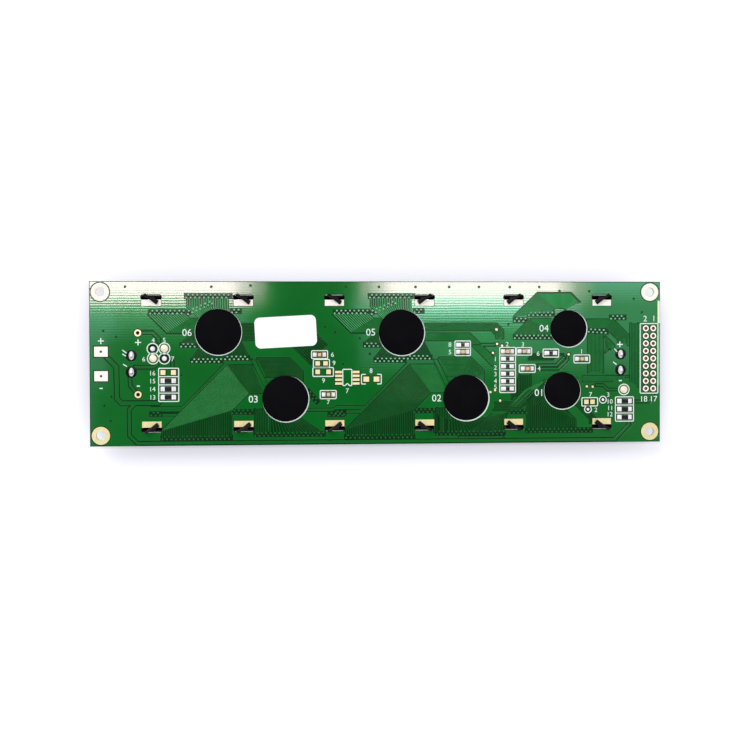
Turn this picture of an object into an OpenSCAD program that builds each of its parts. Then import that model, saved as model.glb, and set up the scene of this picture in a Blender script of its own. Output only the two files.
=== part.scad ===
// Character display module, seen as it lies on its bezel: the glass looks down (-Z), the back of
// the circuit board with its epoxy-covered chips looks up (+Z), and the header is at the +X end.
// The origin is the middle of the bezel's front face. All sizes are in millimetres.

/* [Display glass] */
// Length of the opening in the bezel
view_l = 147; // [122:0.5:180]
// Height of the opening in the bezel
view_h = 29.5; // [24.5:0.5:50]
// How far the glass reaches past the opening at each end
glass_end = 6.5; // [5.5:0.1:7.5]
// Thickness of each of the two glass plates
glass_t = 1.1; // [0.7:0.1:1.4]
// Gap between the plates, drawn wide enough to hold the seal as a solid
cell_gap = 0.1; // [0.05:0.05:0.2]
// Width of the seal's bead
seal_w = 1.2; // [0.8:0.1:2]
// Thickness of each polarizer film
polarizer_t = 0.2; // [0.1:0.05:0.3]
// How far each polarizer stops short of the glass's ends
polarizer_inset = 4.5; // [3:0.5:5.5]
// Room between the front plate's long edges and the bezel's walls
glass_clear = 0.5; // [0.3:0.1:1]

/* [Bezel] */
// Sheet thickness
sheet_t = 0.6; // [0.4:0.05:0.8]
// Width of the bezel's face beyond each end of the opening
bezel_end_lip = 11.1; // [10:0.1:14]
// Width of the bezel's face above and below the opening
bezel_side_lip = 7.75; // [7.5:0.05:12]
// Outside radius of the folds
bend_r = 1; // [0.9:0.05:1.5]
// Radius of the opening's corners
window_r = 0.5; // [0.2:0.1:2]
// Slit left open where two walls meet at a corner
corner_slit = 0.15; // [0.05:0.05:0.5]
// How far a fold stops short of the next one
corner_relief = 0.4; // [0.2:0.1:1]

/* [Twisted tabs] */
// Tabs along each long wall
tab_count = 6; // [4:2:8]
// From the bezel's end to the middle of the first tab
tab_end_inset = 9.6; // [6:0.1:12]
// Width of a tab's head
tab_w = 5.2; // [4:0.1:6]
// Width of the neck that passes through the slot
tab_neck_w = 2.6; // [1.5:0.1:4]
// Height of the head
tab_head_h = 0.9; // [0.7:0.05:2]
// How far a tab leans towards the middle of the board, in degrees
tab_lean = 19; // [5:1:26]
// Twist where the head starts and where it ends, in degrees
tab_twist = [24, 42];
// Room between the head's lowest corner and the board
tab_clear = 0.2; // [0.1:0.05:0.5]
// Length and width of the slots in the board
slot = [6.8, 1.7];
// How far each slot is set inward from the wall it clears
slot_shift = 0.4; // [0.3:0.05:0.5]

/* [Circuit board] */
// Thickness of the board
board_t = 1.6; // [1:0.1:2]
// How far the board reaches past the bezel at each end
board_end = 10.4; // [9:0.1:15]
// How far the board reaches past the bezel at each side
board_side = 4.5; // [4:0.1:8]
// From the mounting holes to the board's edges
mount_inset = 3.5; // [3.3:0.1:4]
// Mounting hole
mount_hole_d = 3.2; // [2.5:0.1:3.6]
// Copper ring round a mounting hole
mount_ring_d = 5.9; // [4:0.1:6.5]
// Height that the bare copper stands above the solder mask
pad_t = 0.05; // [0.03:0.01:0.1]
// Bare copper beside each slot
ground_pad = [6.3, 2];

/* [Header and wires] */
// Holes in each column of the header
header_rows = 9; // [7:2:9]
// Spacing of the header's holes
header_pitch = 2.54; // [2:0.01:2.6]
// From the board's end to the header's outer column
header_inset = 2.3; // [2:0.1:3]
// Height of the header's middle above the middle of the board
header_y = 1.14; // [0:0.01:2]
// Header hole, for a square leg of 0.64 mm
header_hole_d = 1.12; // [1:0.01:1.2]
// Copper ring round a header hole
header_ring_d = 2.05; // [1.5:0.05:2.2]
// From the bezel's end to the wire holes
wire_inset = 5.2; // [4.8:0.1:5.6]
// Distance of each wire hole from the middle line
wire_y = 10.1; // [9:0.1:11]
// Wire hole
wire_hole_d = 1.2; // [1:0.05:1.4]
// Copper ring round a wire hole
wire_ring_d = 2.3; // [1.8:0.1:3]
// From the board's end to the middle of the square solder pads
land_inset = 3.7; // [3:0.1:4.5]
// Distance of each square pad from the middle line
land_y = 4; // [3:0.1:5]
// Square solder pad
land = [4.4, 3.3];
// Hole in the middle of a square pad
land_hole_d = 0.8; // [0.6:0.05:1]

/* [Backlight] */
// Thickness of the light guide
guide_t = 3; // [2:0.1:4]
// Thickness of the diffuser film
diffuser_t = 0.25; // [0.1:0.05:0.4]
// Thickness of the reflector film
reflector_t = 0.2; // [0.1:0.05:0.4]
// Air left in front of the diffuser, and round the guide and the films
film_clear = 0.05; // [0.02:0.01:0.1]
// Floor of the moulded frame, which lies against the board
frame_floor_t = 1.2; // [0.8:0.1:2]
// Wall between the light guide and a contact strip
frame_side_t = 0.8; // [0.5:0.1:1]
// Rail outside a contact strip
frame_rail_t = 0.9; // [0.5:0.1:1.1]
// Room between a rail and the slots
rail_clear = 0.2; // [0.1:0.05:0.4]
// Room between the frame's ends and the bezel
frame_end_clear = 0.2; // [0.1:0.05:0.4]
// From the bezel's end to the backlight's pins
pin_inset = 3.1; // [2.9:0.1:3.4]
// Distance of each pin from the middle line
pin_y = 2.7; // [2:0.1:3.2]
// Width of the square pins
pin_w = 0.6; // [0.4:0.05:0.64]
// Hole for a pin in the board
pin_hole_d = 1.3; // [1:0.05:1.5]
// Height that a pin stands above the board
pin_rise = 1.2; // [0.8:0.1:1.6]
// Thickness of the strip board that carries the lamps
led_board_t = 0.8; // [0.6:0.1:1]
// How far a strip board stops short of the films' long edges
led_board_inset = 2.25; // [0.5:0.25:4]
// Lamp: depth, width and height
led_size = [1.5, 3.5, 2.2];
// Lamps at each end
led_count = 5; // [3:2:5]
// From a strip board's end to its first lamp
led_end = 1.75; // [1:0.25:3]
// Air between the lamps and the guide
led_gap = 0.2; // [0.1:0.05:0.5]

/* [Contact strips] */
// Thickness of the rubber strips that join the glass to the board
zebra_t = 2; // [1.5:0.1:2.4]
// How far each strip stops short of the glass's ends
zebra_inset = 5; // [3:0.5:8]
// Room on each side of a strip
zebra_clear = 0.1; // [0.05:0.05:0.2]

/* [Chips] */
// Diameter of the larger epoxy covers
big_cap_d = 15.3; // [12:0.1:16]
// Diameter of the smaller epoxy covers
small_cap_d = 12.4; // [10:0.1:13]
// Height of a cover
cap_h = 1.7; // [1:0.1:2.5]
// Radius at a cover's rim
cap_rim_r = 0.7; // [0.4:0.05:0.8]
// Bare die under a large and a small cover
big_die = [5.6, 4.6, 0.4];
small_die = [4.8, 3.8, 0.4];
// Paper label: length, width, corner radius and thickness
label = [20.3, 10.2, 1.8, 0.1];
// Turn of the label, in degrees
label_turn = 3; // [-5:0.5:5]

/* [Small parts] */
// Larger resistor: length, width, height, length of an end cap
res_large = [3.2, 1.6, 0.55, 0.5];
// Smaller resistor
res_small = [2, 1.25, 0.5, 0.4];
// Capacitor
cap_small = [2, 1.25, 0.85, 0.5];
// Pad of a larger part, and its distance from the part's middle
pad_large = [1.6, 1.6, 1.7];
// Pad of a smaller part, and its distance from the part's middle
pad_small = [1.5, 1.4, 1.45];
// How much lower the body lies than its end caps
body_inset = 0.03; // [0.02:0.01:0.06]
// Solder at a part's ends: how far up the end cap it climbs
solder_climb = 0.75; // [0.4:0.05:0.95]
// Solder drop on a jumper: diameter and height
drop = [2.8, 0.55];
// Solder at a backlight pin: width, length and height
pin_drop = [2.2, 3.7, 1];

/* [Hidden] */
$fn = 48;
turned_fn = 96; // facets round a turned shape when it is drawn as a mesh
wide_arc_fn = 720; // the same for the flat arc on top of a cover
tiny = 0.01; // overlap that makes a cut or a joint clean

// Outlines, from the opening outwards
bezel_l = view_l + 2 * bezel_end_lip;
bezel_w = view_h + 2 * bezel_side_lip;
board_l = bezel_l + 2 * board_end;
board_w = bezel_w + 2 * board_side;
glass_l = view_l + 2 * glass_end;
polarizer_l = glass_l - 2 * polarizer_inset;

// Tab columns and slot rows, which the layout on the board is tied to
tab_pitch = (bezel_l - 2 * tab_end_inset) / (tab_count - 1);
wall_y = bezel_w / 2 - sheet_t / 2;
slot_y = wall_y - slot_shift;

// Half widths inside the bezel, from the slots inwards
rail_out = slot_y - slot.y / 2 - rail_clear;
rail_in = rail_out - frame_rail_t;
zebra_y = rail_in - zebra_clear - zebra_t / 2;
side_out = zebra_y - zebra_t / 2 - zebra_clear;
side_in = side_out - frame_side_t;
film_w = 2 * (side_in - 2 * film_clear);
front_glass_w = 2 * (bezel_w / 2 - sheet_t - glass_clear);
rear_glass_w = 2 * (side_out - film_clear);

// Distances from the middle at each end, from the pins inwards and outwards
pin_x = bezel_l / 2 - pin_inset;
led_board_x = pin_x - pin_w / 2 - led_board_t;
led_x = led_board_x - led_size.x;
guide_l = 2 * (led_x - led_gap);
end_in = pin_x + pin_w / 2 + 2 * frame_end_clear;
end_out = bezel_l / 2 - sheet_t - frame_end_clear;

// Strip boards for the lamps: length across the module, and spacing of the lamps along it
led_board_l = film_w - 2 * led_board_inset;
led_pitch = (led_board_l - 2 * led_end - led_size.y) / (led_count - 1);

// Levels, from the bezel's front face up
z_film = sheet_t;
z_front = z_film + polarizer_t;
z_seal = z_front + glass_t;
z_rear = z_seal + cell_gap;
z_rear_film = z_rear + glass_t;
z_diffuser = z_rear_film + polarizer_t + film_clear;
z_guide = z_diffuser + diffuser_t;
z_reflector = z_guide + guide_t;
z_floor = z_reflector + reflector_t;
z_board = z_floor + frame_floor_t;
z_top = z_board + board_t;
z_pad = z_top + pad_t;

// A tab's neck ends at the board's top, and its head starts where its low corner clears the board
tab_neck_h = board_t / cos(tab_lean);
tab_rise = ((tab_w * sin(tab_twist[0]) + sheet_t) / 2 * sin(tab_lean) + tab_clear) / cos(tab_lean);

// A place on the board: a tab column (0 to 5, counted from -X) and an offset from it, then a slot
// row (1 upper, -1 lower, 0 the middle line) and an offset from that. Parts tied to the same
// column and row keep their distances when the module grows or shrinks.
last_column = 5;
function column(c) = (c / last_column - 0.5) * tab_pitch * (tab_count - 1);
function at(c, dx, r, dy) = [column(c) + dx, r * slot_y + dy];

// Chips under epoxy: name, place, large or small
CAPS = [
    ["1", at(4, 16.5, -1, 12.3), false],
    ["2", at(3, 13.8, -1, 10.1), true],
    ["3", at(1, 13.7, -1, 10.1), true],
    ["4", at(4, 18.6, 1, -10.5), false],
    ["5", at(3, -7.7, 1, -11.7), true],
    ["6", at(1, -8.2, 1, -11.4), true]
];

// Stacks of small parts share one pitch
stack_small = 2.5;
stack_large = 2.7;
function series_stack(i) = at(3.5, 12.9, 0, 3.7 - i * stack_small);
function left_stack(i) = at(0, 5.4, 0, -2.9 - i * stack_large);
function right_stack(i) = at(5, 7.8, -1, 8.6 - i * stack_large);

// Small parts: name, place, size, pad
CHIPS = [
    ["resistor_1", series_stack(1), res_small, pad_small],
    ["resistor_2", series_stack(2), res_small, pad_small],
    ["resistor_3", series_stack(3), res_small, pad_small],
    ["resistor_4", series_stack(4), res_small, pad_small],
    ["resistor_5", series_stack(5), res_small, pad_small],
    ["resistor_6", at(4, 12.6, 0, 3.1), res_small, pad_small],
    ["resistor_8", at(3, 12.8, 0, 5.9), res_small, pad_small],
    ["resistor_10", right_stack(0), res_large, pad_large],
    ["resistor_11", right_stack(1), res_large, pad_large],
    ["resistor_12", right_stack(2), res_large, pad_large],
    ["resistor_13", left_stack(3), res_large, pad_large],
    ["resistor_14", left_stack(2), res_large, pad_large],
    ["resistor_15", left_stack(1), res_large, pad_large],
    ["capacitor_1", at(4, 23.1, 0, 1.1), cap_small, pad_small],
    ["capacitor_2", series_stack(0), cap_small, pad_small],
    ["capacitor_3", at(3.5, 18.5, 0, 3.7), cap_small, pad_small],
    ["capacitor_4", at(3.5, 19.6, 0, -2.1), cap_small, pad_small],
    ["capacitor_5", at(3, 12.8, 0, 3.6), cap_small, pad_small],
    ["capacitor_6", at(1, 25, 0.25, -2.65), cap_small, pad_small],
    ["capacitor_7", at(1, 27.9, -1, 11.4), cap_small, pad_small]
];

// Places left without a part: middle, pad size, distance of each pad from the middle
BARE_PLACES = [
    [left_stack(0), [1.6, 1.6], 1.7],
    [at(1, 25.7, 0, -0.1), [1.5, 1.4], 1.3],
    [at(1, 26.2, 0, -2.9), [1.5, 1.5], 1.8],
    [at(1, 42.2, 0, -5.4), [1.9, 1.7], 1.7],
    [at(4, 25.8, -1, 8.4), [1.5, 1.5], 1.05]
];

// Empty place for an eight-legged chip: middle, pad size, half the span, pitch, legs on a side
soic_place = at(1, 34.2, 0, -4.9);
soic_pad = [2.3, 0.8];
soic_reach = 2.9;
soic_pitch = 1.27;
soic_legs = 4;

// Round jumpers: place, and how full the solder drop on it is
JUMPERS = [
    [at(0, 0.4, 0, 4.9), 0.7],
    [at(0, 4.2, 0, 5), 1],
    [at(0, 0.5, 0, 1.7), 1],
    [at(0, 4.2, 0, 1.7), 0.7],
    [at(5, 7.6, -1, 12.5), 0.8]
];

// Small bare discs: the two open jumpers, then the test points
disc_d = 1.6;
dot_d = 0.8;
OPEN_JUMPERS = [at(4.2, 24.4, -1, 9.1), at(4, 25.3, -1, 5.9)];
TEST_POINTS = [
    at(3.5, 9.2, 1, -10.8), at(3.5, 9.4, 0, 6.2), at(3.5, 11.1, 0, 5.6), at(3.5, 8, 0, 3.2),
    at(3.5, 8.7, 0, -9.3), at(3.5, 7.1, 0, -9.9), at(3.5, 10.4, 0, -12.8),
    at(4, 18.7, 1, -19.2), at(4, 24.9, 0, -8.2), at(4, 26.9, 0, -8.3)
];

// ---- shared shapes ----

// A plate of the given plan size, centred, from one level up
module plate(l, w, z, t) {
    translate([0, 0, z]) linear_extrude(t) square([l, w], center = true);
}

// The children and their mirror images across both middle lines
module four_ways() {
    for (mx = [0, 1], my = [0, 1]) mirror([mx, 0, 0]) mirror([0, my, 0]) children();
}

// A rectangle with round corners, in true arcs
module round_rect(l, w, r) {
    square([l - 2 * r, w], center = true);
    square([l, w - 2 * r], center = true);
    for (x = [-1, 1], y = [-1, 1]) translate([x * (l / 2 - r), y * (w / 2 - r)]) circle(r);
}

module at_slots() {
    for (c = [0:tab_count - 1], y = [-1, 1])
        translate([(c - (tab_count - 1) / 2) * tab_pitch, y * slot_y]) children();
}

module at_mount_holes() {
    for (x = [-1, 1], y = [-1, 1])
        translate([x * (board_l / 2 - mount_inset), y * (board_w / 2 - mount_inset)]) children();
}

module at_header_holes() {
    for (c = [0, 1], r = [0:header_rows - 1])
        translate([board_l / 2 - header_inset - c * header_pitch,
                   header_y + (r - (header_rows - 1) / 2) * header_pitch]) children();
}

module at_wire_holes() {
    for (y = [-1, 1]) translate([-bezel_l / 2 + wire_inset, y * wire_y]) children();
}

module at_lands() {
    for (y = [-1, 1]) translate([-board_l / 2 + land_inset, y * land_y]) children();
}

module at_pins() {
    for (x = [-1, 1], y = [-1, 1]) translate([x * pin_x, y * pin_y]) children();
}

// ---- the circuit board and its bare copper ----

module slot_outline() {
    square([slot.x - slot.y, slot.y], center = true);
    for (x = [-1, 1]) translate([x * (slot.x - slot.y) / 2, 0]) circle(d = slot.y);
}

module circuit_board() {
    color("#0d6b2b") translate([0, 0, z_board]) linear_extrude(board_t) difference() {
        square([board_l, board_w], center = true);
        at_mount_holes() circle(d = mount_hole_d);
        at_slots() slot_outline();
        at_header_holes() circle(d = header_hole_d);
        at_wire_holes() circle(d = wire_hole_d);
        at_lands() circle(d = land_hole_d);
        at_pins() circle(d = pin_hole_d);
    }
}

module ring(outside_d, hole_d) {
    difference() {
        circle(d = outside_d);
        circle(d = hole_d);
    }
}

// Two pads on a line, for a part at the origin
module pad_pair(size, reach) {
    for (x = [-1, 1]) translate([x * reach, 0]) square(size, center = true);
}

module ground_pads() {
    inward = (slot.y + ground_pad.y) / 2;
    for (c = [0:tab_count - 1], y = [-1, 1])
        translate([(c - (tab_count - 1) / 2) * tab_pitch, y * (slot_y - inward)])
            square(ground_pad, center = true);
}

module solder_pads() {
    color("#d9b45b") translate([0, 0, z_top]) linear_extrude(pad_t) {
        at_mount_holes() ring(mount_ring_d, mount_hole_d);
        at_header_holes() ring(header_ring_d, header_hole_d);
        at_wire_holes() ring(wire_ring_d, wire_hole_d);
        at_lands() difference() {
            square(land, center = true);
            circle(d = land_hole_d);
        }
        ground_pads();
        for (c = CHIPS) translate(c[1]) pad_pair([c[3].x, c[3].y], c[3].z);
        for (b = BARE_PLACES) translate(b[0]) pad_pair(b[1], b[2]);
        for (leg = [0:soic_legs - 1])
            translate(soic_place + [0, (leg - (soic_legs - 1) / 2) * soic_pitch])
                pad_pair(soic_pad, soic_reach);
        for (p = OPEN_JUMPERS) translate(p) circle(d = disc_d);
        for (p = TEST_POINTS) translate(p) circle(d = dot_d);
    }
}

// ---- the folded bezel ----

// Section through a fold: the outer face is at x = 0 and the sheet's underside at y = 0
module fold_section() {
    difference() {
        intersection() {
            translate([-bend_r, bend_r]) circle(bend_r);
            translate([-bend_r, 0]) square(bend_r);
        }
        translate([-bend_r, bend_r]) circle(bend_r - sheet_t);
    }
}

// A wall along X, folded up from the face, with its outer face at y = reach
module folded_wall(reach, wall_l, fold_l) {
    translate([0, reach, 0]) {
        rotate([90, 0, 90]) linear_extrude(fold_l, center = true) fold_section();
        translate([-wall_l / 2, -sheet_t, bend_r]) cube([wall_l, sheet_t, z_board - bend_r]);
    }
}

// One tab on the +Y wall: a neck that leans inwards through its slot, then a head twisted so
// that its -X end swings in over the ground pad
module twisted_tab() {
    steps = 4;
    translate([0, wall_y, z_board]) rotate([tab_lean, 0, 0]) {
        rotate([0, 90, 0]) cylinder(d = sheet_t, h = tab_neck_w, center = true);
        translate([-tab_neck_w / 2, -sheet_t / 2, 0]) cube([tab_neck_w, sheet_t, tab_neck_h]);
        translate([0, 0, tab_neck_h])
            linear_extrude(tab_rise, twist = -tab_twist[0], slices = steps, segments = 4)
                square([tab_neck_w, sheet_t], center = true);
        translate([0, 0, tab_neck_h + tab_rise - tiny]) rotate(tab_twist[0])
            linear_extrude(tab_head_h + tiny, twist = tab_twist[0] - tab_twist[1], slices = steps, segments = 4)
                square([tab_w, sheet_t], center = true);
    }
}

module bezel_frame() {
    flat_l = bezel_l - 2 * bend_r;
    flat_w = bezel_w - 2 * bend_r;
    color("#1c1c20") {
        linear_extrude(sheet_t) difference() {
            square([flat_l, flat_w], center = true);
            round_rect(view_l, view_h, window_r);
        }
        for (side = [0, 1]) mirror([0, side, 0])
            folded_wall(bezel_w / 2, bezel_l - 2 * (sheet_t + corner_slit), flat_l - 2 * corner_relief);
        for (end = [-90, 90]) rotate(end)
            folded_wall(bezel_l / 2, bezel_w, flat_w - 2 * corner_relief);
        for (c = [0:tab_count / 2 - 1]) four_ways()
            translate([(c + 0.5) * tab_pitch, 0, 0]) twisted_tab();
    }
}

// ---- the display cell ----

module front_polarizer() {
    color("#1b2a63") plate(polarizer_l, film_w, z_film, polarizer_t);
}

module front_glass() {
    color("#bcd6cf", 0.6) plate(glass_l, front_glass_w, z_front, glass_t);
}

module cell_seal() {
    seal_inset = 2 * film_clear;
    color("#8a8f86") translate([0, 0, z_seal]) linear_extrude(cell_gap) difference() {
        square([glass_l - 2 * seal_inset, rear_glass_w - 2 * seal_inset], center = true);
        square([glass_l - 2 * (seal_inset + seal_w), rear_glass_w - 2 * (seal_inset + seal_w)],
               center = true);
    }
}

// Drop of cured resin over the filling hole, across both plates' edges at the -X end
module fill_port_plug() {
    plug_l = 5;
    plug_t = 0.5;
    plug_h = glass_t + cell_gap;
    color("#c9b26a") translate([-glass_l / 2 - plug_t, -plug_l / 2, z_rear - plug_h / 2])
        cube([plug_t, plug_l, plug_h]);
}

module rear_glass() {
    color("#bcd6cf", 0.6) plate(glass_l, rear_glass_w, z_rear, glass_t);
}

module rear_polarizer() {
    color("#24366f") plate(polarizer_l, film_w, z_rear_film, polarizer_t);
}

// Rubber strip standing on the front plate's ledge, pressed against the board
module zebra_strip(side) {
    strip_l = glass_l - 2 * zebra_inset;
    color("#2b2b2e") translate([-strip_l / 2, side * zebra_y - zebra_t / 2, z_seal])
        cube([strip_l, zebra_t, z_board - z_seal]);
}

// ---- the backlight ----

// One moulding: a floor against the board, walls round the light guide that stand on the rear
// plate, rails that stand on the front plate outside the contact strips, and a block at each end
module backlight_frame() {
    color("white") difference() {
        union() {
            plate(2 * end_out, 2 * side_out, z_floor, frame_floor_t);
            for (side = [0, 1]) mirror([0, side, 0]) {
                translate([-end_out, side_in, z_rear_film])
                    cube([2 * end_out, frame_side_t, z_board - z_rear_film]);
                translate([-end_out, rail_in, z_seal])
                    cube([2 * end_out, frame_rail_t, z_board - z_seal]);
            }
            for (end = [0, 1]) mirror([end, 0, 0])
                translate([end_in, -rail_out, z_front])
                    cube([end_out - end_in, 2 * rail_out, z_board - z_front]);
        }
        at_pins() translate([0, 0, z_floor - tiny])
            cylinder(d = pin_hole_d, h = frame_floor_t + 2 * tiny);
    }
}

module diffuser_film() {
    color("#f4f4ef") plate(guide_l, film_w, z_diffuser, diffuser_t);
}

module light_guide() {
    color("#e8f3f6", 0.7) plate(guide_l, film_w, z_guide, guide_t);
}

module reflector_film() {
    color("#fafafa") plate(guide_l, film_w, z_reflector, reflector_t);
}

// The strip boards stand on edge between the guide's level and the frame's floor
module led_board(end) {
    x = end < 0 ? -led_board_x - led_board_t : led_board_x;
    color("#e9e9e2") translate([x, -led_board_l / 2, z_diffuser])
        cube([led_board_t, led_board_l, z_floor - z_diffuser - film_clear]);
}

module leds(end) {
    x = end < 0 ? -led_board_x : led_x;
    color("#f2e9a0") for (i = [0:led_count - 1])
        translate([x, (i - (led_count - 1) / 2) * led_pitch - led_size.y / 2,
                   z_guide + (guide_t - led_size.z) / 2]) cube(led_size);
}

// A square pin soldered to the strip board's outer face, up through the frame and the board
module backlight_pin(end, side) {
    color("#c8ccd0") translate([end * pin_x - pin_w / 2, side * pin_y - pin_w / 2, z_guide])
        cube([pin_w, pin_w, z_top + pin_rise - z_guide]);
}

// Long drops of solder round the two pins at one end
module pin_solder(end) {
    foot_t = 0.15;
    foot_d = pin_drop.x;
    shoulder_d = 2.4 * pin_w;
    crown_d = 1.6 * pin_w;
    color("#c8ccd0") for (side = [-1, 1])
        translate([end * pin_x, side * pin_y, z_top]) difference() {
            hull() {
                for (y = [-1, 1]) translate([0, y * (pin_drop.y - foot_d) / 2, 0])
                    cylinder(d = foot_d, h = foot_t);
                translate([0, 0, pin_drop.z / 2])
                    cylinder(d = shoulder_d, h = pin_drop.z / 4);
                cylinder(d = crown_d, h = pin_drop.z);
            }
            translate([-pin_w / 2, -pin_w / 2, -tiny]) cube([pin_w, pin_w, 2 * pin_drop.z]);
        }
}

// ---- chips under epoxy ----

// Half section of a cover: a wide arc on top that runs without a kink into the rim's small arc
module cover_section(r) {
    top_r = (pow(r - cap_rim_r, 2) + pow(cap_h, 2) - pow(cap_rim_r, 2)) / (2 * (cap_h - cap_rim_r));
    meet_x = (r - cap_rim_r) * top_r / (top_r - cap_rim_r);
    intersection() {
        translate([0, cap_h - top_r]) circle(top_r, $fn = wide_arc_fn);
        square([meet_x, cap_h]);
    }
    intersection() {
        translate([r - cap_rim_r, 0]) circle(cap_rim_r);
        square([r, cap_h]);
    }
}

module die(c) {
    size = c[2] ? big_die : small_die;
    translate([c[1].x - size.x / 2, c[1].y - size.y / 2, z_top]) cube(size);
}

module chip_die(c) {
    color("#55585e") die(c);
}

module chip_cover(c) {
    color("#141416") difference() {
        translate([c[1].x, c[1].y, z_top])
            rotate_extrude($fn = turned_fn) cover_section((c[2] ? big_cap_d : small_cap_d) / 2);
        die(c);
    }
}

// ---- small parts, their solder and the label ----

// A ceramic body with a metal cap over each end
module chip_part(c) {
    size = c[2];
    body = [size.x - size[3], size.y - 2 * body_inset, size.z - 2 * body_inset];
    is_resistor = c[0][0] == "r";
    color(is_resistor ? "#17181a" : "#a8794d") translate([c[1].x, c[1].y, z_pad]) {
        translate([-body.x / 2, -body.y / 2, body_inset]) cube(body);
        for (x = [-size.x / 2, size.x / 2 - size[3]])
            translate([x, -size.y / 2, 0]) cube([size[3], size.y, size.z]);
    }
}

// Hollow wedge from an end cap down to the outer edge of its pad
module solder_wedge(reach, climb, w) {
    steps = 4;
    slope = [for (i = [0:steps]) [reach * i / steps, climb * pow(1 - i / steps, 2)]];
    rotate([90, 0, 0]) linear_extrude(w, center = true) polygon(concat([[0, 0]], slope));
}

module chip_solder() {
    color("#cfd3d6") for (c = CHIPS, end = [0, 180])
        translate([c[1].x, c[1].y, z_pad]) rotate(end) translate([c[2].x / 2, 0, 0])
            solder_wedge(c[3].z + (c[3].x - c[2].x) / 2, c[2].z * solder_climb, c[2].y);
}

// Round drop of solder on the board's face, as a turned outline of short straight steps
module solder_drop(d, h) {
    steps = 8;
    arc_r = (pow(d / 2, 2) + pow(h, 2)) / (2 * h);
    arc = asin(d / 2 / arc_r);
    crown = [for (i = [0:steps]) let (a = arc * i / steps) [arc_r * sin(a), h - arc_r * (1 - cos(a))]];
    rotate_extrude($fn = turned_fn) polygon(concat([[0, 0]], crown));
}

module solder_jumpers() {
    color("#cfd3d6") for (j = JUMPERS)
        translate([j[0].x, j[0].y, z_top]) solder_drop(drop.x, drop.y * j[1]);
}

module paper_label() {
    color("white") translate(concat(at(1, 13.9, 1, -11.4), [z_top])) rotate(label_turn)
        linear_extrude(label[3]) round_rect(label.x, label.y, label.z);
}

// ---- the nodes ----

circuit_board();
solder_pads();
bezel_frame();
front_polarizer();
front_glass();
cell_seal();
fill_port_plug();
rear_glass();
rear_polarizer();
zebra_strip(1);  // zebra_strip_upper
zebra_strip(-1);  // zebra_strip_lower
backlight_frame();
diffuser_film();
light_guide();
reflector_film();
led_board(-1);  // led_board_left
led_board(1);  // led_board_right
leds(-1);  // leds_left
leds(1);  // leds_right
backlight_pin(-1, 1);  // anode_pin_left
backlight_pin(-1, -1);  // cathode_pin_left
backlight_pin(1, 1);  // anode_pin_right
backlight_pin(1, -1);  // cathode_pin_right
pin_solder(-1);  // pin_solder_left
pin_solder(1);  // pin_solder_right
solder_jumpers();
chip_solder();
paper_label();
for (c = CAPS) chip_cover(c);
for (c = CAPS) chip_die(c);
for (c = CHIPS) chip_part(c);
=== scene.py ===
import math

import bmesh
import bpy
import numpy as np
from mathutils import Euler, Matrix, Vector, geometry, noise


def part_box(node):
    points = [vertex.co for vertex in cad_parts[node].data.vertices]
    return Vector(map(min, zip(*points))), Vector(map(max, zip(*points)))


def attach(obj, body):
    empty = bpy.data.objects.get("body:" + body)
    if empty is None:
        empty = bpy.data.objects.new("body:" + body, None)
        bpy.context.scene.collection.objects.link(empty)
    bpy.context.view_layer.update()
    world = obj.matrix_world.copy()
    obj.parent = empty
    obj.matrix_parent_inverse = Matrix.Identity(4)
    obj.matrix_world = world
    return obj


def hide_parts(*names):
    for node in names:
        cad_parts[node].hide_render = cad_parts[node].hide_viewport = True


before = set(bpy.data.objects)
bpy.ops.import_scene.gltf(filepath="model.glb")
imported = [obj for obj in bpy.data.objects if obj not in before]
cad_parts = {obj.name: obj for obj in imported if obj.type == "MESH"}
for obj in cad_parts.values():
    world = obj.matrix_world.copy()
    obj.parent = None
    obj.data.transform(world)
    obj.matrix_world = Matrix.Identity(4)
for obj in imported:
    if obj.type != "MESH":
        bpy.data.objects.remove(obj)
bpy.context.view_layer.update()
print("frame loaded:", len(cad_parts), "nodes")

mm = 0.001
scene = bpy.context.scene
scene.view_settings.view_transform = "Standard"

# levels come from the CAD parts, in millimetres
boardLow, boardHigh = [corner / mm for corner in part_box("circuit_board")]
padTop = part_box("solder_pads")[1].z / mm
maskRise = 0.045  # copper and ink together stand this far above the bare board
maskTop = boardHigh.z + maskRise
silkRise = 0.02  # the legend's ink stands this far above the mask

cameraPlan = {
    "place": (-31.4, 3.4, 408.4), "target": (-1.59, -4.03, 9.6), "roll": -0.19,
    "lens": 57.8, "sensor": 36, "clip": (0.01, 50),
}


def addCamera(plan):
    data = bpy.data.cameras.new("camera")
    data.lens = plan["lens"]
    data.sensor_width = plan["sensor"]
    data.clip_start, data.clip_end = plan["clip"]
    camera = bpy.data.objects.new("camera", data)
    scene.collection.objects.link(camera)
    ahead = (Vector(plan["target"]) - Vector(plan["place"])).normalized()
    right = ahead.cross(Vector((0, 1, 0))).normalized()
    up = right.cross(ahead)
    turn = math.radians(plan["roll"])
    right, up = right * math.cos(turn) + up * math.sin(turn), up * math.cos(turn) - right * math.sin(turn)
    camera.matrix_world = Matrix.Translation(Vector(plan["place"]) * mm) @ Matrix(
        (right, up, -ahead)).transposed().to_4x4()
    scene.camera = camera


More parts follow.
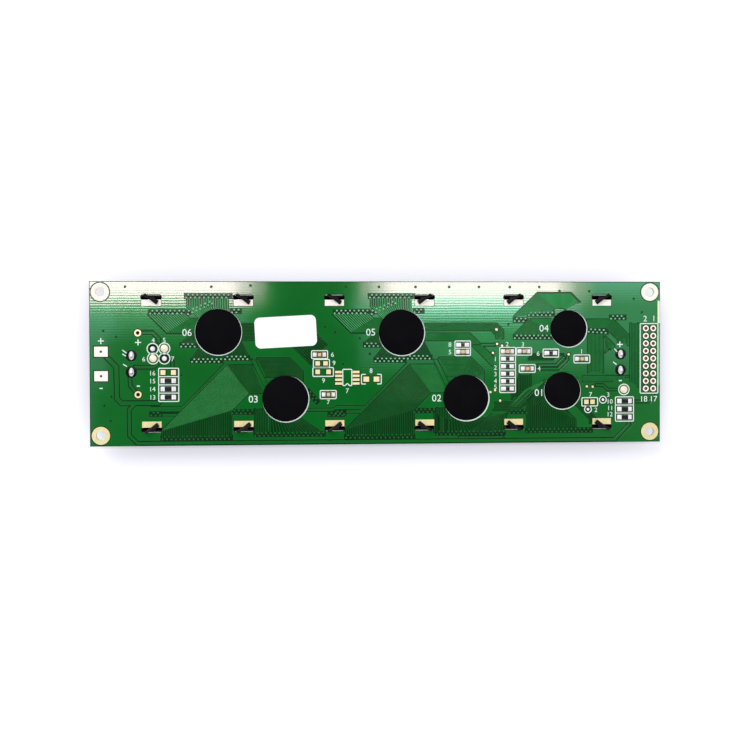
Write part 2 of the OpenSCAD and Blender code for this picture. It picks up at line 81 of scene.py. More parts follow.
lightPlan = {
    # share of the whole light level, tilt from straight up, direction round, angular size
    "key": {"share": 0.22, "tilt": 42, "round": 128, "angle": 34},
    "fill": {"share": 0.06, "tilt": 52, "round": -40, "angle": 60},
    # long soft boxes that the varnish mirrors along the far edge
    "stripHeight": 600, "stripTint": (1.0, 0.65, 0.82),
    "strips": [((-200, -70, 47, 70), 27), ((-70, -58, 47, 70), 15), ((-58, -47, 47, 70), 6),
               ((30, 40, 47, 70), 6), ((40, 52, 47, 70), 14), ((52, 197, 47, 70), 26),
               ((197, 208, 47, 70), 14), ((208, 222, 47, 70), 5)],
    # wide dim panels beside and below them, for the soft sheen at both ends
    "panelTint": (0.62, 1.05, 1.15),
    "panels": [((-340, -168, 20, 110), 2.1), ((-340, -175, -20, 20), 1.1), ((-340, -185, -90, -20), 0.5),
               ((-168, -60, 20, 47), 1.0), ((24, 60, 30, 47), 2.2), ((60, 172, 40, 47), 12.0),
               ((60, 172, 30, 40), 4.4), ((172, 215, 30, 47), 2.4), ((30, 340, -10, 30), 0.9),
               ((205, 340, 30, 52), 0.8), ((205, 340, 52, 100), 3.2)],
    # pale walls and a ceiling that darkens to a patch overhead: degrees from its middle, glow
    "darkAxis": (0.035, -0.13, 1.0),
    "ceiling": ((0, 0.02), (5, 0.04), (10, 0.12), (14, 0.25), (20, 0.6), (35, 0.65), (62, 0.9)),
    "ceilingTint": (0.94, 0.98, 1.05),
}


def linear(code):
    # sRGB hex to linear colour
    parts = [int(code[i:i + 2], 16) / 255 for i in (1, 3, 5)]
    return tuple(c / 12.92 if c <= 0.04045 else ((c + 0.055) / 1.055) ** 2.4 for c in parts) + (1.0,)


def addNode(tree, kind, inputs=None, **settings):
    node = tree.nodes.new(kind)
    for name, value in settings.items():
        setattr(node, name, value)
    for key, value in (inputs or {}).items():
        if isinstance(value, bpy.types.NodeSocket):
            tree.links.new(value, node.inputs[key])
        else:
            node.inputs[key].default_value = value
    return node


def compute(tree, operation, *values):
    return addNode(tree, "ShaderNodeMath", dict(enumerate(values)), operation=operation).outputs[0]


def blend(tree, share, first, second):
    # two colours, each a hex code or a node's output, mixed by the share of the second
    first, second = [linear(tone) if isinstance(tone, str) else tone for tone in (first, second)]
    return addNode(tree, "ShaderNodeMix", {0: share, 6: first, 7: second}, data_type="RGBA").outputs[2]


def newMaterial(name):
    material = bpy.data.materials.new(name)
    material.use_nodes = True
    tree = material.node_tree
    tree.nodes.clear()
    return material, tree, addNode(tree, "ShaderNodeTexCoord").outputs["Object"]


def addSun(name, plan):
    data = bpy.data.lights.new(name, "SUN")
    data.energy = math.pi * plan["share"] / math.cos(math.radians(plan["tilt"]))
    data.angle = math.radians(plan["angle"])
    lamp = bpy.data.objects.new(name, data)
    lamp.rotation_euler = Euler((0, math.radians(plan["tilt"]), math.radians(plan["round"])))
    scene.collection.objects.link(lamp)


def addStrip(name, edges, height, glow, tint):
    data = bpy.data.lights.new(name, "AREA")
    data.shape = "RECTANGLE"
    data.size, data.size_y = (edges[1] - edges[0]) * mm, (edges[3] - edges[2]) * mm
    data.energy = glow * math.pi * data.size * data.size_y
    data.color = tint
    lamp = bpy.data.objects.new(name, data)
    lamp.location = ((edges[0] + edges[1]) / 2 * mm, (edges[2] + edges[3]) / 2 * mm, height * mm)
    scene.collection.objects.link(lamp)


def addRoom(plan):
    world = bpy.data.worlds.new("room")
    scene.world = world
    world.use_nodes = True
    tree = world.node_tree
    tree.nodes.clear()
    where = addNode(tree, "ShaderNodeTexCoord")
    facing = addNode(tree, "ShaderNodeVectorMath", {
        0: where.outputs["Generated"], 1: Vector(plan["darkAxis"]).normalized()}, operation="DOT_PRODUCT")
    angle = compute(tree, "ARCCOSINE", facing.outputs["Value"])
    fade = addNode(tree, "ShaderNodeValToRGB", {0: compute(tree, "DIVIDE", angle, math.pi / 2)})
    stops = fade.color_ramp.elements
    for place, (degrees, glow) in enumerate(plan["ceiling"]):
        stop = stops[place] if place < 2 else stops.new(degrees / 90)
        stop.position = degrees / 90
        stop.color = tuple(glow * part for part in plan["ceilingTint"]) + (1,)
    glow = addNode(tree, "ShaderNodeBackground", {"Color": fade.outputs[0]})
    addNode(tree, "ShaderNodeOutputWorld", {"Surface": glow.outputs[0]})


addCamera(cameraPlan)
addSun("key_lamp", lightPlan["key"])
addSun("fill_lamp", lightPlan["fill"])
for group, tint in (("strips", "stripTint"), ("panels", "panelTint")):
    for index, (edges, glow) in enumerate(lightPlan[group]):
        addStrip("%s_%d" % (group, index + 1), edges, lightPlan["stripHeight"], glow, lightPlan[tint])
addRoom(lightPlan)
print("camera and lights placed")


# what all the finishes share: cloudy noise for tone and shine, and its useful span
cloudPlan = {
    "detail": 4.0, "roughness": 0.6, "toneSpan": (0.32, 0.68), "shineSpan": (0.3, 0.7), "fineDetail": 3.0,
}


def waveScale(pitch):
    # a wave texture's scale for bands this many millimetres apart
    return 2 * math.pi / 20 / (pitch * mm)


def cutEdge(tree, where, face, plan):
    # bare cut laminate between two levels, with the mask above and below it; inner hole and slot walls get a
    # dark tone as painted shade
    axes = addNode(tree, "ShaderNodeSeparateXYZ", {0: where})
    inside = compute(tree, "COMPARE", axes.outputs["Z"], plan["edge"][0] * mm, plan["edge"][1] * mm)
    plies = addNode(tree, "ShaderNodeTexWave", {
        "Vector": where, "Scale": waveScale(plan["plyPitch"]), "Distortion": 2.0, "Detail": 2.0},
        bands_direction="Z")
    cut = blend(tree, plies.outputs[1], *plan["edgeTones"])
    reach = addNode(tree, "ShaderNodeVectorMath", {0: where}, operation="ABSOLUTE")
    past = addNode(tree, "ShaderNodeVectorMath", {
        0: reach.outputs[0], 1: Vector(plan["outline"]) * mm}, operation="SUBTRACT")
    sides = addNode(tree, "ShaderNodeSeparateXYZ", {0: past.outputs[0]})
    farthest = compute(tree, "MAXIMUM", sides.outputs[0], sides.outputs[1])
    outside = compute(tree, "GREATER_THAN", farthest, 0.0)
    return blend(tree, inside, face, blend(tree, outside, plan["holeShadeTone"], cut))


def makeFinish(name, plan):
    # two tones mixed by cloudy noise, roughness that varies with it and fine bump; where the
    # plan has a weave, the glass cloth under the surface shows through as faint ribs
    material, tree, where = newMaterial(name)
    spread = addNode(tree, "ShaderNodeMapping", {"Vector": where, "Scale": plan.get("stretch", (1, 1, 1))})
    clouds = addNode(tree, "ShaderNodeTexNoise", {
        "Vector": spread.outputs[0], "Scale": 1 / (plan["grain"] * mm), "Detail": cloudPlan["detail"],
        "Roughness": cloudPlan["roughness"]})
    contrast = addNode(tree, "ShaderNodeMapRange", {
        "Value": clouds.outputs[0], "From Min": cloudPlan["toneSpan"][0],
        "From Max": cloudPlan["toneSpan"][1]})
    color = blend(tree, contrast.outputs[0], *plan["tones"])
    if "edge" in plan:
        color = cutEdge(tree, where, color, plan)
    shine = addNode(tree, "ShaderNodeMapRange", {
        "Value": clouds.outputs[0], "From Min": cloudPlan["shineSpan"][0],
        "From Max": cloudPlan["shineSpan"][1], "To Min": plan["rough"][0], "To Max": plan["rough"][1]})
    fine = addNode(tree, "ShaderNodeTexNoise", {
        "Vector": spread.outputs[0], "Scale": 1 / (plan["bumpGrain"] * mm),
        "Detail": cloudPlan["fineDetail"]})
    height = fine.outputs[0]
    if "weave" in plan:
        ribs = addNode(tree, "ShaderNodeTexWave", {
            "Vector": where, "Scale": waveScale(plan["weave"]), "Distortion": 1.2, "Detail": 2.0,
            "Detail Scale": 0.5}, bands_direction="Y")
        height = compute(tree, "MULTIPLY_ADD", ribs.outputs[1], plan["weaveShare"], height)
    bump = addNode(tree, "ShaderNodeBump", {"Height": height, "Distance": plan["bump"] * mm})
    shader = addNode(tree, "ShaderNodeBsdfPrincipled", {
        "Base Color": color, "Roughness": shine.outputs[0], "Normal": bump.outputs[0]})
    if "Coat Weight" in plan["sockets"]:
        tree.links.new(bump.outputs[0], shader.inputs["Coat Normal"])
    for socket, value in plan["sockets"].items():
        shader.inputs[socket].default_value = value
    addNode(tree, "ShaderNodeOutputMaterial", {"Surface": shader.outputs[0]})
    return material


# the copper glints through the tinted mask, and the mask's own face is a wet-looking coat
overCopper = {"Metallic": 0.2, "Specular IOR Level": 0.0, "Coat Weight": 1.0, "Coat Roughness": 0.06,
              "Coat IOR": 1.52}
overTracks = dict(overCopper, **{"Coat Weight": 0.22, "Coat Roughness": 0.14})
overLaminate = dict(overTracks, **{"Coat Weight": 0.2})
overVias = dict(overCopper, **{"Metallic": 0.3, "Coat Roughness": 0.2, "Coat IOR": 1.6})

finishPlans = {
    # epoxy solder mask, curtain coated and cured over copper: clear green with a wet gloss
    "maskOverCopper": {
        "tones": ("#08651f", "#0a6c23"), "grain": 14, "rough": (0.1, 0.15), "bump": 0.001, "bumpGrain": 1.1,
        "weave": 0.85, "weaveShare": 1.6, "sockets": overCopper},
    # the same mask over bare laminate: the dark core shows through; outer cut edges are cream fibre, inner
    # hole walls painted shade
    "maskOverLaminate": {
        "tones": ("#073110", "#0a3c15"), "grain": 6, "rough": (0.2, 0.28), "bump": 0.0008, "bumpGrain": 0.9,
        "weave": 1.05, "weaveShare": 1.2, "sockets": overLaminate,
        "edge": ((boardLow.z + boardHigh.z) / 2, (boardHigh.z - boardLow.z) / 2 - 0.03), "plyPitch": 0.22,
        "edgeTones": ("#d9dccb", "#eceee2"), "outline": (boardHigh.x - 0.3, boardHigh.y - 0.3, 0),
        "holeShadeTone": "#1d1c12"},
    # mask over the via rings, its pale tone partly the copper ring beneath and partly a painted glint
    "viaMaskAndGlint": {
        "tones": ("#7cc48e", "#9cd8aa"), "grain": 2, "rough": (0.35, 0.45), "bump": 0.002, "bumpGrain": 0.4,
        "sockets": overVias},
    # near-black painted shade: a disc beside each via dome, set off as its shadow, and discs that darken the
    # wire holes
    "paintedViaAndHoleShade": {
        "tones": ("#04140a", "#082010"), "grain": 1, "rough": (0.4, 0.5), "bump": 0.002, "bumpGrain": 0.3,
        "sockets": {"IOR": 1.5, "Specular IOR Level": 0.2}},
    # dark brown plating inside the holes, its darkness painted shade of the hole walls; also the dark clipped
    # pin ends
    "darkenedPlating": {
        "tones": ("#2c1c10", "#4d331d"), "grain": 0.6, "rough": (0.5, 0.65), "bump": 0.006, "bumpGrain": 0.15,
        "sockets": {"Metallic": 0.7}},
    # immersion gold on nickel: pale warm metal with a satin, slightly uneven grain
    "immersionGold": {
        "tones": ("#e6d792", "#f0e5ae"), "grain": 1.6, "rough": (0.42, 0.55), "bump": 0.004,
        "bumpGrain": 0.25,
        "sockets": {"Metallic": 0.9, "Coat Weight": 1.0, "Coat Roughness": 0.15, "Coat IOR": 2.0}},
    # tin plate on lead ends and pins
    "tinPlate": {
        "tones": ("#e6e6e3", "#f4f3f0"), "grain": 0.8, "rough": (0.35, 0.5), "bump": 0.004, "bumpGrain": 0.2,
        "sockets": {"Metallic": 0.6}},
    # the same plate over a fired termination, smooth enough to mirror the dark overhead
    "firedTermination": {
        "tones": ("#77787a", "#8b8b8b"), "grain": 0.8, "rough": (0.12, 0.2), "bump": 0.003, "bumpGrain": 0.2,
        "sockets": {"Metallic": 1.0}},
    # reflowed solder: bright, a little frosted where it froze last
    "reflowedSolder": {
        "tones": ("#dcdcda", "#f6f5f2"), "grain": 0.9, "rough": (0.25, 0.45), "bump": 0.012, "bumpGrain": 0.3,
        "sockets": {"Metallic": 0.15}},
    # solder that froze under clear amber flux
    "fluxedSolder": {
        "tones": ("#ecd6b0", "#f8ecd2"), "grain": 1.1, "rough": (0.35, 0.5), "bump": 0.006, "bumpGrain": 0.4,
        "sockets": {"Metallic": 0.5, "Coat Weight": 0.6, "Coat Roughness": 0.15}},
    # baked black lacquer over steel sheet, with a fine orange peel
    "blackLacquer": {
        "tones": ("#050406", "#0a080b"), "grain": 3, "rough": (0.4, 0.52), "bump": 0.003, "bumpGrain": 0.5,
        "sockets": {"IOR": 1.5, "Specular IOR Level": 0.18}},
    # glob-top epoxy, poured and cured: near black, soft sheen, slow swells in its surface
    "pouredEpoxy": {
        "tones": ("#060508", "#0a090c"), "grain": 4, "rough": (0.5, 0.62), "bump": 0.006, "bumpGrain": 2.2,
        "sockets": {"IOR": 1.42, "Specular IOR Level": 0.04}},
    # screen printed legend ink: flat white epoxy that lets a little green through at thin spots
    "legendInk": {
        "tones": ("#cfe3d2", "#e9f1e8"), "grain": 0.7, "rough": (0.5, 0.7), "bump": 0.004, "bumpGrain": 0.3,
        "sockets": {"IOR": 1.5}},
    # coated self-adhesive paper
    "coatedPaper": {
        "tones": ("#f4f4f2", "#f8f8f6"), "grain": 1.2, "rough": (0.45, 0.6), "bump": 0.004, "bumpGrain": 0.15,
        "sockets": {"IOR": 1.45}},
    # resistor: sintered alumina body, printed glass over the element
    "sinteredAlumina": {
        "tones": ("#e6e6e0", "#f1f0ea"), "grain": 0.5, "rough": (0.5, 0.7), "bump": 0.004, "bumpGrain": 0.1,
        "sockets": {"IOR": 1.7}},
    "printedGlaze": {
        "tones": ("#080708", "#131012"), "grain": 0.6, "rough": (0.18, 0.3), "bump": 0.005, "bumpGrain": 0.35,
        "sockets": {"IOR": 1.52, "Specular IOR Level": 0.25}},
    # capacitor: fired barium titanate ceramic, tan and matt
    "firedTitanate": {
        "tones": ("#d59c52", "#edbd80"), "grain": 0.5, "rough": (0.4, 0.55), "bump": 0.004, "bumpGrain": 0.12,
        "sockets": {"IOR": 1.6}},
    # rosin flux left round a hand-soldered joint: dark brown glass
    "rosinResidue": {
        "tones": ("#070504", "#110b07"), "grain": 1.1, "rough": (0.15, 0.3), "bump": 0.02, "bumpGrain": 0.6,
        "sockets": {"IOR": 1.5, "Specular IOR Level": 0.12}},
    # thin flux film that has closed the small plated holes from below
    "fluxFilm": {
        "tones": ("#8f5e38", "#ad7c4c"), "grain": 0.8, "rough": (0.3, 0.45), "bump": 0.01, "bumpGrain": 0.4,
        "sockets": {"IOR": 1.53}},
    # near-white film: wiped solder on the connector's rings; on the wire lands, far slot pads and far
    # mounting rings a painted highlight of the glare
    "wipedSolderAndGlare": {
        "tones": ("#f6eedb", "#fbf6ea"), "grain": 1.2, "rough": (0.4, 0.55), "bump": 0.005, "bumpGrain": 0.3,
        "sockets": {"IOR": 1.5}},
    # cream strip at the right edge: a painted highlight of the board's cut edge
    "paintedEdgeHighlight": {
        "tones": ("#dfe2b4", "#f0efcb"), "grain": 1.5, "rough": (0.5, 0.65), "bump": 0.006, "bumpGrain": 0.3,
        "sockets": {"IOR": 1.5}},
    # cell glass, float polished; the STN fluid behind it gives the cast
    "floatGlass": {
        "tones": ("#b9d2cb", "#c6dcd6"), "grain": 20, "rough": (0.02, 0.05), "bump": 0.0005, "bumpGrain": 8,
        "sockets": {"IOR": 1.52, "Transmission Weight": 0.9}},
    "curedResin": {
        "tones": ("#b89a55", "#cbb06a"), "grain": 2, "rough": (0.3, 0.45), "bump": 0.01, "bumpGrain": 0.8,
        "sockets": {"IOR": 1.5, "Subsurface Weight": 0.1}},
    # layered silicone connector: fine dark and light slices across its length
    "slicedRubber": {
        "tones": ("#1c1c1f", "#4b4a4e"), "grain": 0.3, "stretch": (4, 0.2, 0.2), "rough": (0.6, 0.75),
        "bump": 0.01, "bumpGrain": 0.2, "sockets": {"IOR": 1.42}},
    # injection moulded white polycarbonate, eroded tool finish
    "mouldedWhite": {
        "tones": ("#ececea", "#f4f4f1"), "grain": 8, "rough": (0.42, 0.55), "bump": 0.006, "bumpGrain": 0.3,
        "sockets": {"IOR": 1.58, "Subsurface Weight": 0.15}},
    "castAcrylic": {
        "tones": ("#e3eef0", "#eef6f7"), "grain": 12, "rough": (0.05, 0.12), "bump": 0.001, "bumpGrain": 4,
        "sockets": {"IOR": 1.49, "Transmission Weight": 0.8}},
    "diffusingFilm": {
        "tones": ("#ededea", "#f6f6f3"), "grain": 1, "rough": (0.55, 0.7), "bump": 0.003, "bumpGrain": 0.1,
        "sockets": {"IOR": 1.57, "Subsurface Weight": 0.2}},
    "whiteMask": {
        "tones": ("#e4e6df", "#eff0ea"), "grain": 5, "rough": (0.3, 0.42), "bump": 0.003, "bumpGrain": 0.5,
        "sockets": {"IOR": 1.52}},
    # phosphor-loaded silicone in the lamp packages: translucent yellow
    "phosphorSilicone": {
        "tones": ("#e5cf5c", "#f0de78"), "grain": 0.4, "rough": (0.3, 0.5), "bump": 0.003, "bumpGrain": 0.1,
        "sockets": {"IOR": 1.41, "Subsurface Weight": 0.3}},
    "polishedSilicon": {
        "tones": ("#4b4d57", "#5a5c66"), "grain": 0.5, "rough": (0.08, 0.16), "bump": 0.001, "bumpGrain": 0.1,
        "sockets": {"Metallic": 0.6}},
}
# mask over narrow etched conductors in four tones: lit and shaded copies, painted shade and sheen by how each
# stretch lies
trackShadeTones = {
    "Dark": ("#0b4d19", "#0f561f"), "Light": ("#196a2c", "#1f7434"),
    "Middle": ("#297f40", "#31884a"), "Pale": ("#3d9a55", "#4aa962"),
}
for stretchShade, tones in trackShadeTones.items():
    finishPlans["maskOverTracks" + stretchShade] = {
        "tones": tones, "grain": 5, "rough": (0.18, 0.26), "bump": 0.001, "bumpGrain": 0.8,
        "sockets": overTracks}
finishes = {name: makeFinish(name, plan) for name, plan in finishPlans.items()}

displayPlan = {
    "across": 40, "down": 4, "cell": (3.53, 5.9), "gap": 0.42, "field": "#1d2c63", "cellTone": "#233776",
    "hazeScale": 60.0, "rough": (0.12, 0.2),
}


def makeDisplayFinish(plan):
    # acrylic-coated polarizing film over the cell: deep blue, with the unlit character cells
    # standing out faintly in their rows
    material, tree, where = newMaterial("polarizingFilm")
    sized = addNode(tree, "ShaderNodeMapping", {"Vector": where, "Scale": (1 / mm,) * 3})
    cells = addNode(tree, "ShaderNodeTexBrick", {
        "Vector": sized.outputs[0], "Color1": linear(plan["cellTone"]), "Color2": linear(plan["cellTone"]),
        "Mortar": linear(plan["field"]), "Scale": 1.0, "Mortar Size": plan["gap"] / 2, "Mortar Smooth": 0.2,
        "Brick Width": plan["cell"][0], "Row Height": plan["cell"][1]}, offset=0.0, squash=1.0)
    axes = addNode(tree, "ShaderNodeSeparateXYZ", {0: sized.outputs[0]})
    withinX = compute(tree, "COMPARE", axes.outputs[0], 0.0, plan["cell"][0] * plan["across"] / 2)
    withinY = compute(tree, "COMPARE", axes.outputs[1], 0.0, plan["cell"][1] * plan["down"] / 2)
    within = compute(tree, "MULTIPLY", withinX, withinY)
    haze = addNode(tree, "ShaderNodeTexNoise", {"Vector": where, "Scale": plan["hazeScale"]})
    shine = addNode(tree, "ShaderNodeMapRange", {
        "Value": haze.outputs[0], "To Min": plan["rough"][0], "To Max": plan["rough"][1]})
    shader = addNode(tree, "ShaderNodeBsdfPrincipled", {
        "Base Color": blend(tree, within, plan["field"], cells.outputs[0]), "Roughness": shine.outputs[0],
        "IOR": 1.49})
    addNode(tree, "ShaderNodeOutputMaterial", {"Surface": shader.outputs[0]})
    return material


finishes["polarizingFilm"] = makeDisplayFinish(displayPlan)

# each carried CAD part by the start of its name
nodeFinishes = {
    "circuit_board": "maskOverLaminate", "solder_pads": "immersionGold", "bezel_frame": "blackLacquer",
    "front_polarizer": "polarizingFilm", "rear_polarizer": "polarizingFilm", "front_glass": "floatGlass",
    "rear_glass": "floatGlass", "cell_seal": "curedResin", "fill_port_plug": "curedResin",
    "zebra_strip": "slicedRubber", "backlight_frame": "mouldedWhite", "diffuser_film": "diffusingFilm",
    "light_guide": "castAcrylic", "reflector_film": "diffusingFilm", "led_board": "whiteMask",
    "leds_": "phosphorSilicone", "anode_pin": "tinPlate", "cathode_pin": "tinPlate",
    "pin_solder": "reflowedSolder", "solder_jumpers": "reflowedSolder", "chip_solder": "reflowedSolder",
    "paper_label": "coatedPaper", "chip_cover": "pouredEpoxy", "chip_die": "polishedSilicon",
    "resistor": "sinteredAlumina", "capacitor": "firedTitanate",
}
for name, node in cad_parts.items():
    kind = max((key for key in nodeFinishes if name.startswith(key)), key=len)
    for slot in node.material_slots:
        slot.material = finishes[nodeFinishes[kind]]
print("finishes made:", len(finishes))


def addPiece(name, mesh, hides=()):
    piece = bpy.data.objects.new(name, mesh)
    scene.collection.objects.link(piece)
    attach(piece, "root")
    if hides:
        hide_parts(*hides)
    return piece


def meshFrom(shape, name, materials, smooth=False):
    mesh = bpy.data.meshes.new(name)
    shape.to_mesh(mesh)
    shape.free()
    for material in materials:
        mesh.materials.append(finishes[material])
    if smooth:
        mesh.polygons.foreach_set("use_smooth", [True] * len(mesh.polygons))
    return mesh


def newTree(name, sockets):
    tree = bpy.data.node_groups.new(name, "GeometryNodeTree")
    kinds = {float: "NodeSocketFloat", int: "NodeSocketInt", "finish": "NodeSocketMaterial"}
    tree.interface.new_socket(name="Geometry", in_out="INPUT", socket_type="NodeSocketGeometry")
    for label, kind in sockets.items():
        tree.interface.new_socket(name=label, in_out="INPUT", socket_type=kinds[kind])
    tree.interface.new_socket(name="Geometry", in_out="OUTPUT", socket_type="NodeSocketGeometry")
    return tree, addNode(tree, "NodeGroupInput")


def endTree(tree, start, made):
    real = addNode(tree, "GeometryNodeRealizeInstances", {0: made})
    painted = addNode(tree, "GeometryNodeSetMaterial", {0: real.outputs[0], 2: start.outputs["Finish"]})
    addNode(tree, "NodeGroupOutput", {0: painted.outputs[0]})
    return tree


def runTree(name, carrier, tree, values):
    # the carrier's points or edges go through the tree and come back as a plain mesh
    source = bpy.data.objects.new(name + "_source", carrier)
    scene.collection.objects.link(source)
    modifier = source.modifiers.new("nodes", "NODES")
    modifier.node_group = tree
    for item in tree.interface.items_tree:
        if item.in_out == "INPUT" and item.name in values:
            modifier[item.identifier] = values[item.name]
    view = bpy.context.evaluated_depsgraph_get()
    mesh = bpy.data.meshes.new_from_object(source.evaluated_get(view), depsgraph=view)
    mesh.name = name
    bpy.data.objects.remove(source)
    return mesh


def pathMesh(name, paths, level):
    # open paths, and closed ones whose last point repeats the first, as bare edges
    points, edges = [], []
    for path in paths:
        closed = path[0] == path[-1] and len(path) > 2
        path = path[:-1] if closed else path
        first = len(points)
        points += [(x * mm, y * mm, level * mm) for x, y in path]
        edges += [(first + i, first + i + 1) for i in range(len(path) - 1)]
        if closed:
            edges.append((first + len(path) - 1, first))
    mesh = bpy.data.meshes.new(name)
    mesh.from_pydata(points, edges, [])
    return mesh


def spotMesh(name, spots, level):
    mesh = bpy.data.meshes.new(name)
    mesh.from_pydata([(x * mm, y * mm, level * mm) for x, y in spots], [], [])
    return mesh


def makeRibbonTree():
    # a flat strip with sloping flanks along every path
    tree, start = newTree("ribbon", {
        "Width": float, "Foot Width": float, "Thickness": float, "Corner Radius": float, "Finish": "finish"})
    curve = addNode(tree, "GeometryNodeMeshToCurve", {0: start.outputs["Geometry"]})
    rounded = addNode(tree, "GeometryNodeFilletCurve", {
        0: curve.outputs[0], 1: 3, 2: start.outputs["Corner Radius"], 3: True}, mode="POLY")
    level = addNode(tree, "GeometryNodeSetCurveNormal", {0: rounded.outputs[0]}, mode="Z_UP")
    profile = addNode(tree, "GeometryNodeCurvePrimitiveQuadrilateral", {
        1: start.outputs["Thickness"], 2: start.outputs["Width"], 3: start.outputs["Foot Width"], 4: 0.0},
        mode="TRAPEZOID")
    swept = addNode(tree, "GeometryNodeCurveToMesh", {
        0: level.outputs[0], 1: profile.outputs[0], 3: True})
    return endTree(tree, start, swept.outputs[0])


def makeRingTree():
    # a low ring with sloping flanks on every point
    tree, start = newTree("ring", {
        "Outer Radius": float, "Hole Radius": float, "Thickness": float, "Slope": float, "Sides": int,
        "Finish": "finish"})
    outer, hole = start.outputs["Outer Radius"], start.outputs["Hole Radius"]
    middle = compute(tree, "MULTIPLY", compute(tree, "ADD", outer, hole), 0.5)
    foot = compute(tree, "SUBTRACT", outer, hole)
    width = compute(tree, "SUBTRACT", foot, start.outputs["Slope"])
    circle = addNode(tree, "GeometryNodeCurvePrimitiveCircle", {
        0: start.outputs["Sides"], 4: middle}, mode="RADIUS")
    level = addNode(tree, "GeometryNodeSetCurveNormal", {0: circle.outputs[0]}, mode="Z_UP")
    profile = addNode(tree, "GeometryNodeCurvePrimitiveQuadrilateral", {
        1: start.outputs["Thickness"], 2: width, 3: foot, 4: 0.0}, mode="TRAPEZOID")
    ring = addNode(tree, "GeometryNodeCurveToMesh", {0: level.outputs[0], 1: profile.outputs[0]})
    spots = addNode(tree, "GeometryNodeMeshToPoints", {0: start.outputs["Geometry"]})
    placed = addNode(tree, "GeometryNodeInstanceOnPoints", {0: spots.outputs[0], 2: ring.outputs[0]})
    return endTree(tree, start, placed.outputs[0])


ribbonTree = makeRibbonTree()
ringTree = makeRingTree()


def addRibbons(name, paths, foot, plan):
    values = {"Width": plan["width"] * mm, "Foot Width": plan["footWidth"] * mm,
              "Thickness": plan["thickness"] * mm, "Corner Radius": plan.get("corner", 0) * mm,
              "Finish": finishes[plan["finish"]]}
    mesh = runTree(name, pathMesh(name, paths, foot + plan["thickness"] / 2), ribbonTree, values)
    return addPiece(name, mesh)


def addRings(name, spots, foot, plan):
    values = {"Outer Radius": plan["outer"] * mm, "Hole Radius": plan["hole"] * mm,
              "Thickness": plan["thickness"] * mm, "Slope": plan["slope"] * mm, "Sides": plan["sides"],
              "Finish": finishes[plan["finish"]]}
    mesh = runTree(name, spotMesh(name, spots, foot + plan["thickness"] / 2), ringTree, values)
    return addPiece(name, mesh)


outlinePlan = {"sharpest": 0.3, "few": 30, "most": 24}  # mitre limit, and points kept of a round outline


def strokeLoop(path, width, reach=0.0):
    # outline of a path drawn with a pen this wide, its ends carried on by the reach
    points = [Vector(p) for p in path]
    points[0] = points[0] + (points[0] - points[1]).normalized() * reach
    points[-1] = points[-1] + (points[-1] - points[-2]).normalized() * reach
    left, right = [], []
    for i, point in enumerate(points):
        before = (point - points[i - 1]).normalized() if i else None
        after = (points[i + 1] - point).normalized() if i < len(points) - 1 else None
        before, after = before or after, after or before
        a, b = Vector((-before.y, before.x)), Vector((-after.y, after.x))
        side = (a + b) / max(1 + a.dot(b), outlinePlan["sharpest"]) * width / 2
        left.append(tuple(point + side))
        right.append(tuple(point - side))
    return left + right[::-1]


def circleLoop(x, y, radius, sides):
    turns = [2 * math.pi * (i + 0.5) / sides for i in range(sides)]
    return [(x + radius * math.cos(a), y + radius * math.sin(a)) for a in turns]


def insideLoop(points, loop):
    # even-odd test of many points at once
    loop = np.array(loop)
    near = np.flatnonzero(((points >= loop.min(axis=0)) & (points <= loop.max(axis=0))).all(axis=1))
    x, y = points[near, 0], points[near, 1]
    odd = np.zeros(len(near), bool)
    for (ax, ay), (bx, by) in zip(loop, np.roll(loop, -1, axis=0)):
        crosses = (ay > y) != (by > y)
        if crosses.any():
            odd[crosses] ^= x[crosses] < (bx - ax) * (y[crosses] - ay) / (by - ay) + ax
    result = np.zeros(len(points), bool)
    result[near] = odd
    return result


topPlan = {"joined": 1e-6, "upright": 0.9, "near": 0.005}


def topLoops(nodeName, level):
    # outlines of a CAD part's flat top, in millimetres, anticlockwise
    shape = bmesh.new()
    shape.from_mesh(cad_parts[nodeName].data)
    bmesh.ops.remove_doubles(shape, verts=shape.verts, dist=topPlan["joined"])
    shape.normal_update()
    flat = []
    for face in shape.faces:
        height = face.calc_center_median().z / mm
        if face.normal.z > topPlan["upright"] and abs(height - level) < topPlan["near"]:
            flat.append(face)
    within = set(flat)  # for asking only: its own order changes from run to run
    following = {}
    for face in flat:
        for loop in face.loops:
            if sum(other in within for other in loop.edge.link_faces) == 1:
                following[loop.vert] = loop.link_loop_next.vert
    loops = []
    while following:
        first, vert = next(iter(following.items()))
        outline = [first]
        del following[first]
        while vert is not first and vert in following:
            outline.append(vert)
            vert = following.pop(vert)
        loops.append([(v.co.x / mm, v.co.y / mm) for v in outline])
    shape.free()
    return loops


def loopArea(loop):
    return sum(a[0] * b[1] - b[0] * a[1] for a, b in zip(loop, loop[1:] + loop[:1])) / 2


def loopBox(loop):
    # left, low, right and high
    xs, ys = zip(*loop)
    return min(xs), min(ys), max(xs), max(ys)


def thinLoop(loop, most=outlinePlan["most"]):
    step = max(1, round(len(loop) / most)) if len(loop) > outlinePlan["few"] else 1
    return loop[::step]


def growLoop(loop, by):
    # every side moved outwards by the same distance
    loop = loop if loopArea(loop) > 0 else loop[::-1]
    result = []
    for i, point in enumerate(loop):
        before = (Vector(point) - Vector(loop[i - 1])).normalized()
        after = (Vector(loop[(i + 1) % len(loop)]) - Vector(point)).normalized()
        a, b = Vector((before.y, -before.x)), Vector((after.y, -after.x))
        result.append(tuple(Vector(point) + (a + b) / (1 + a.dot(b)) * by))
    return result


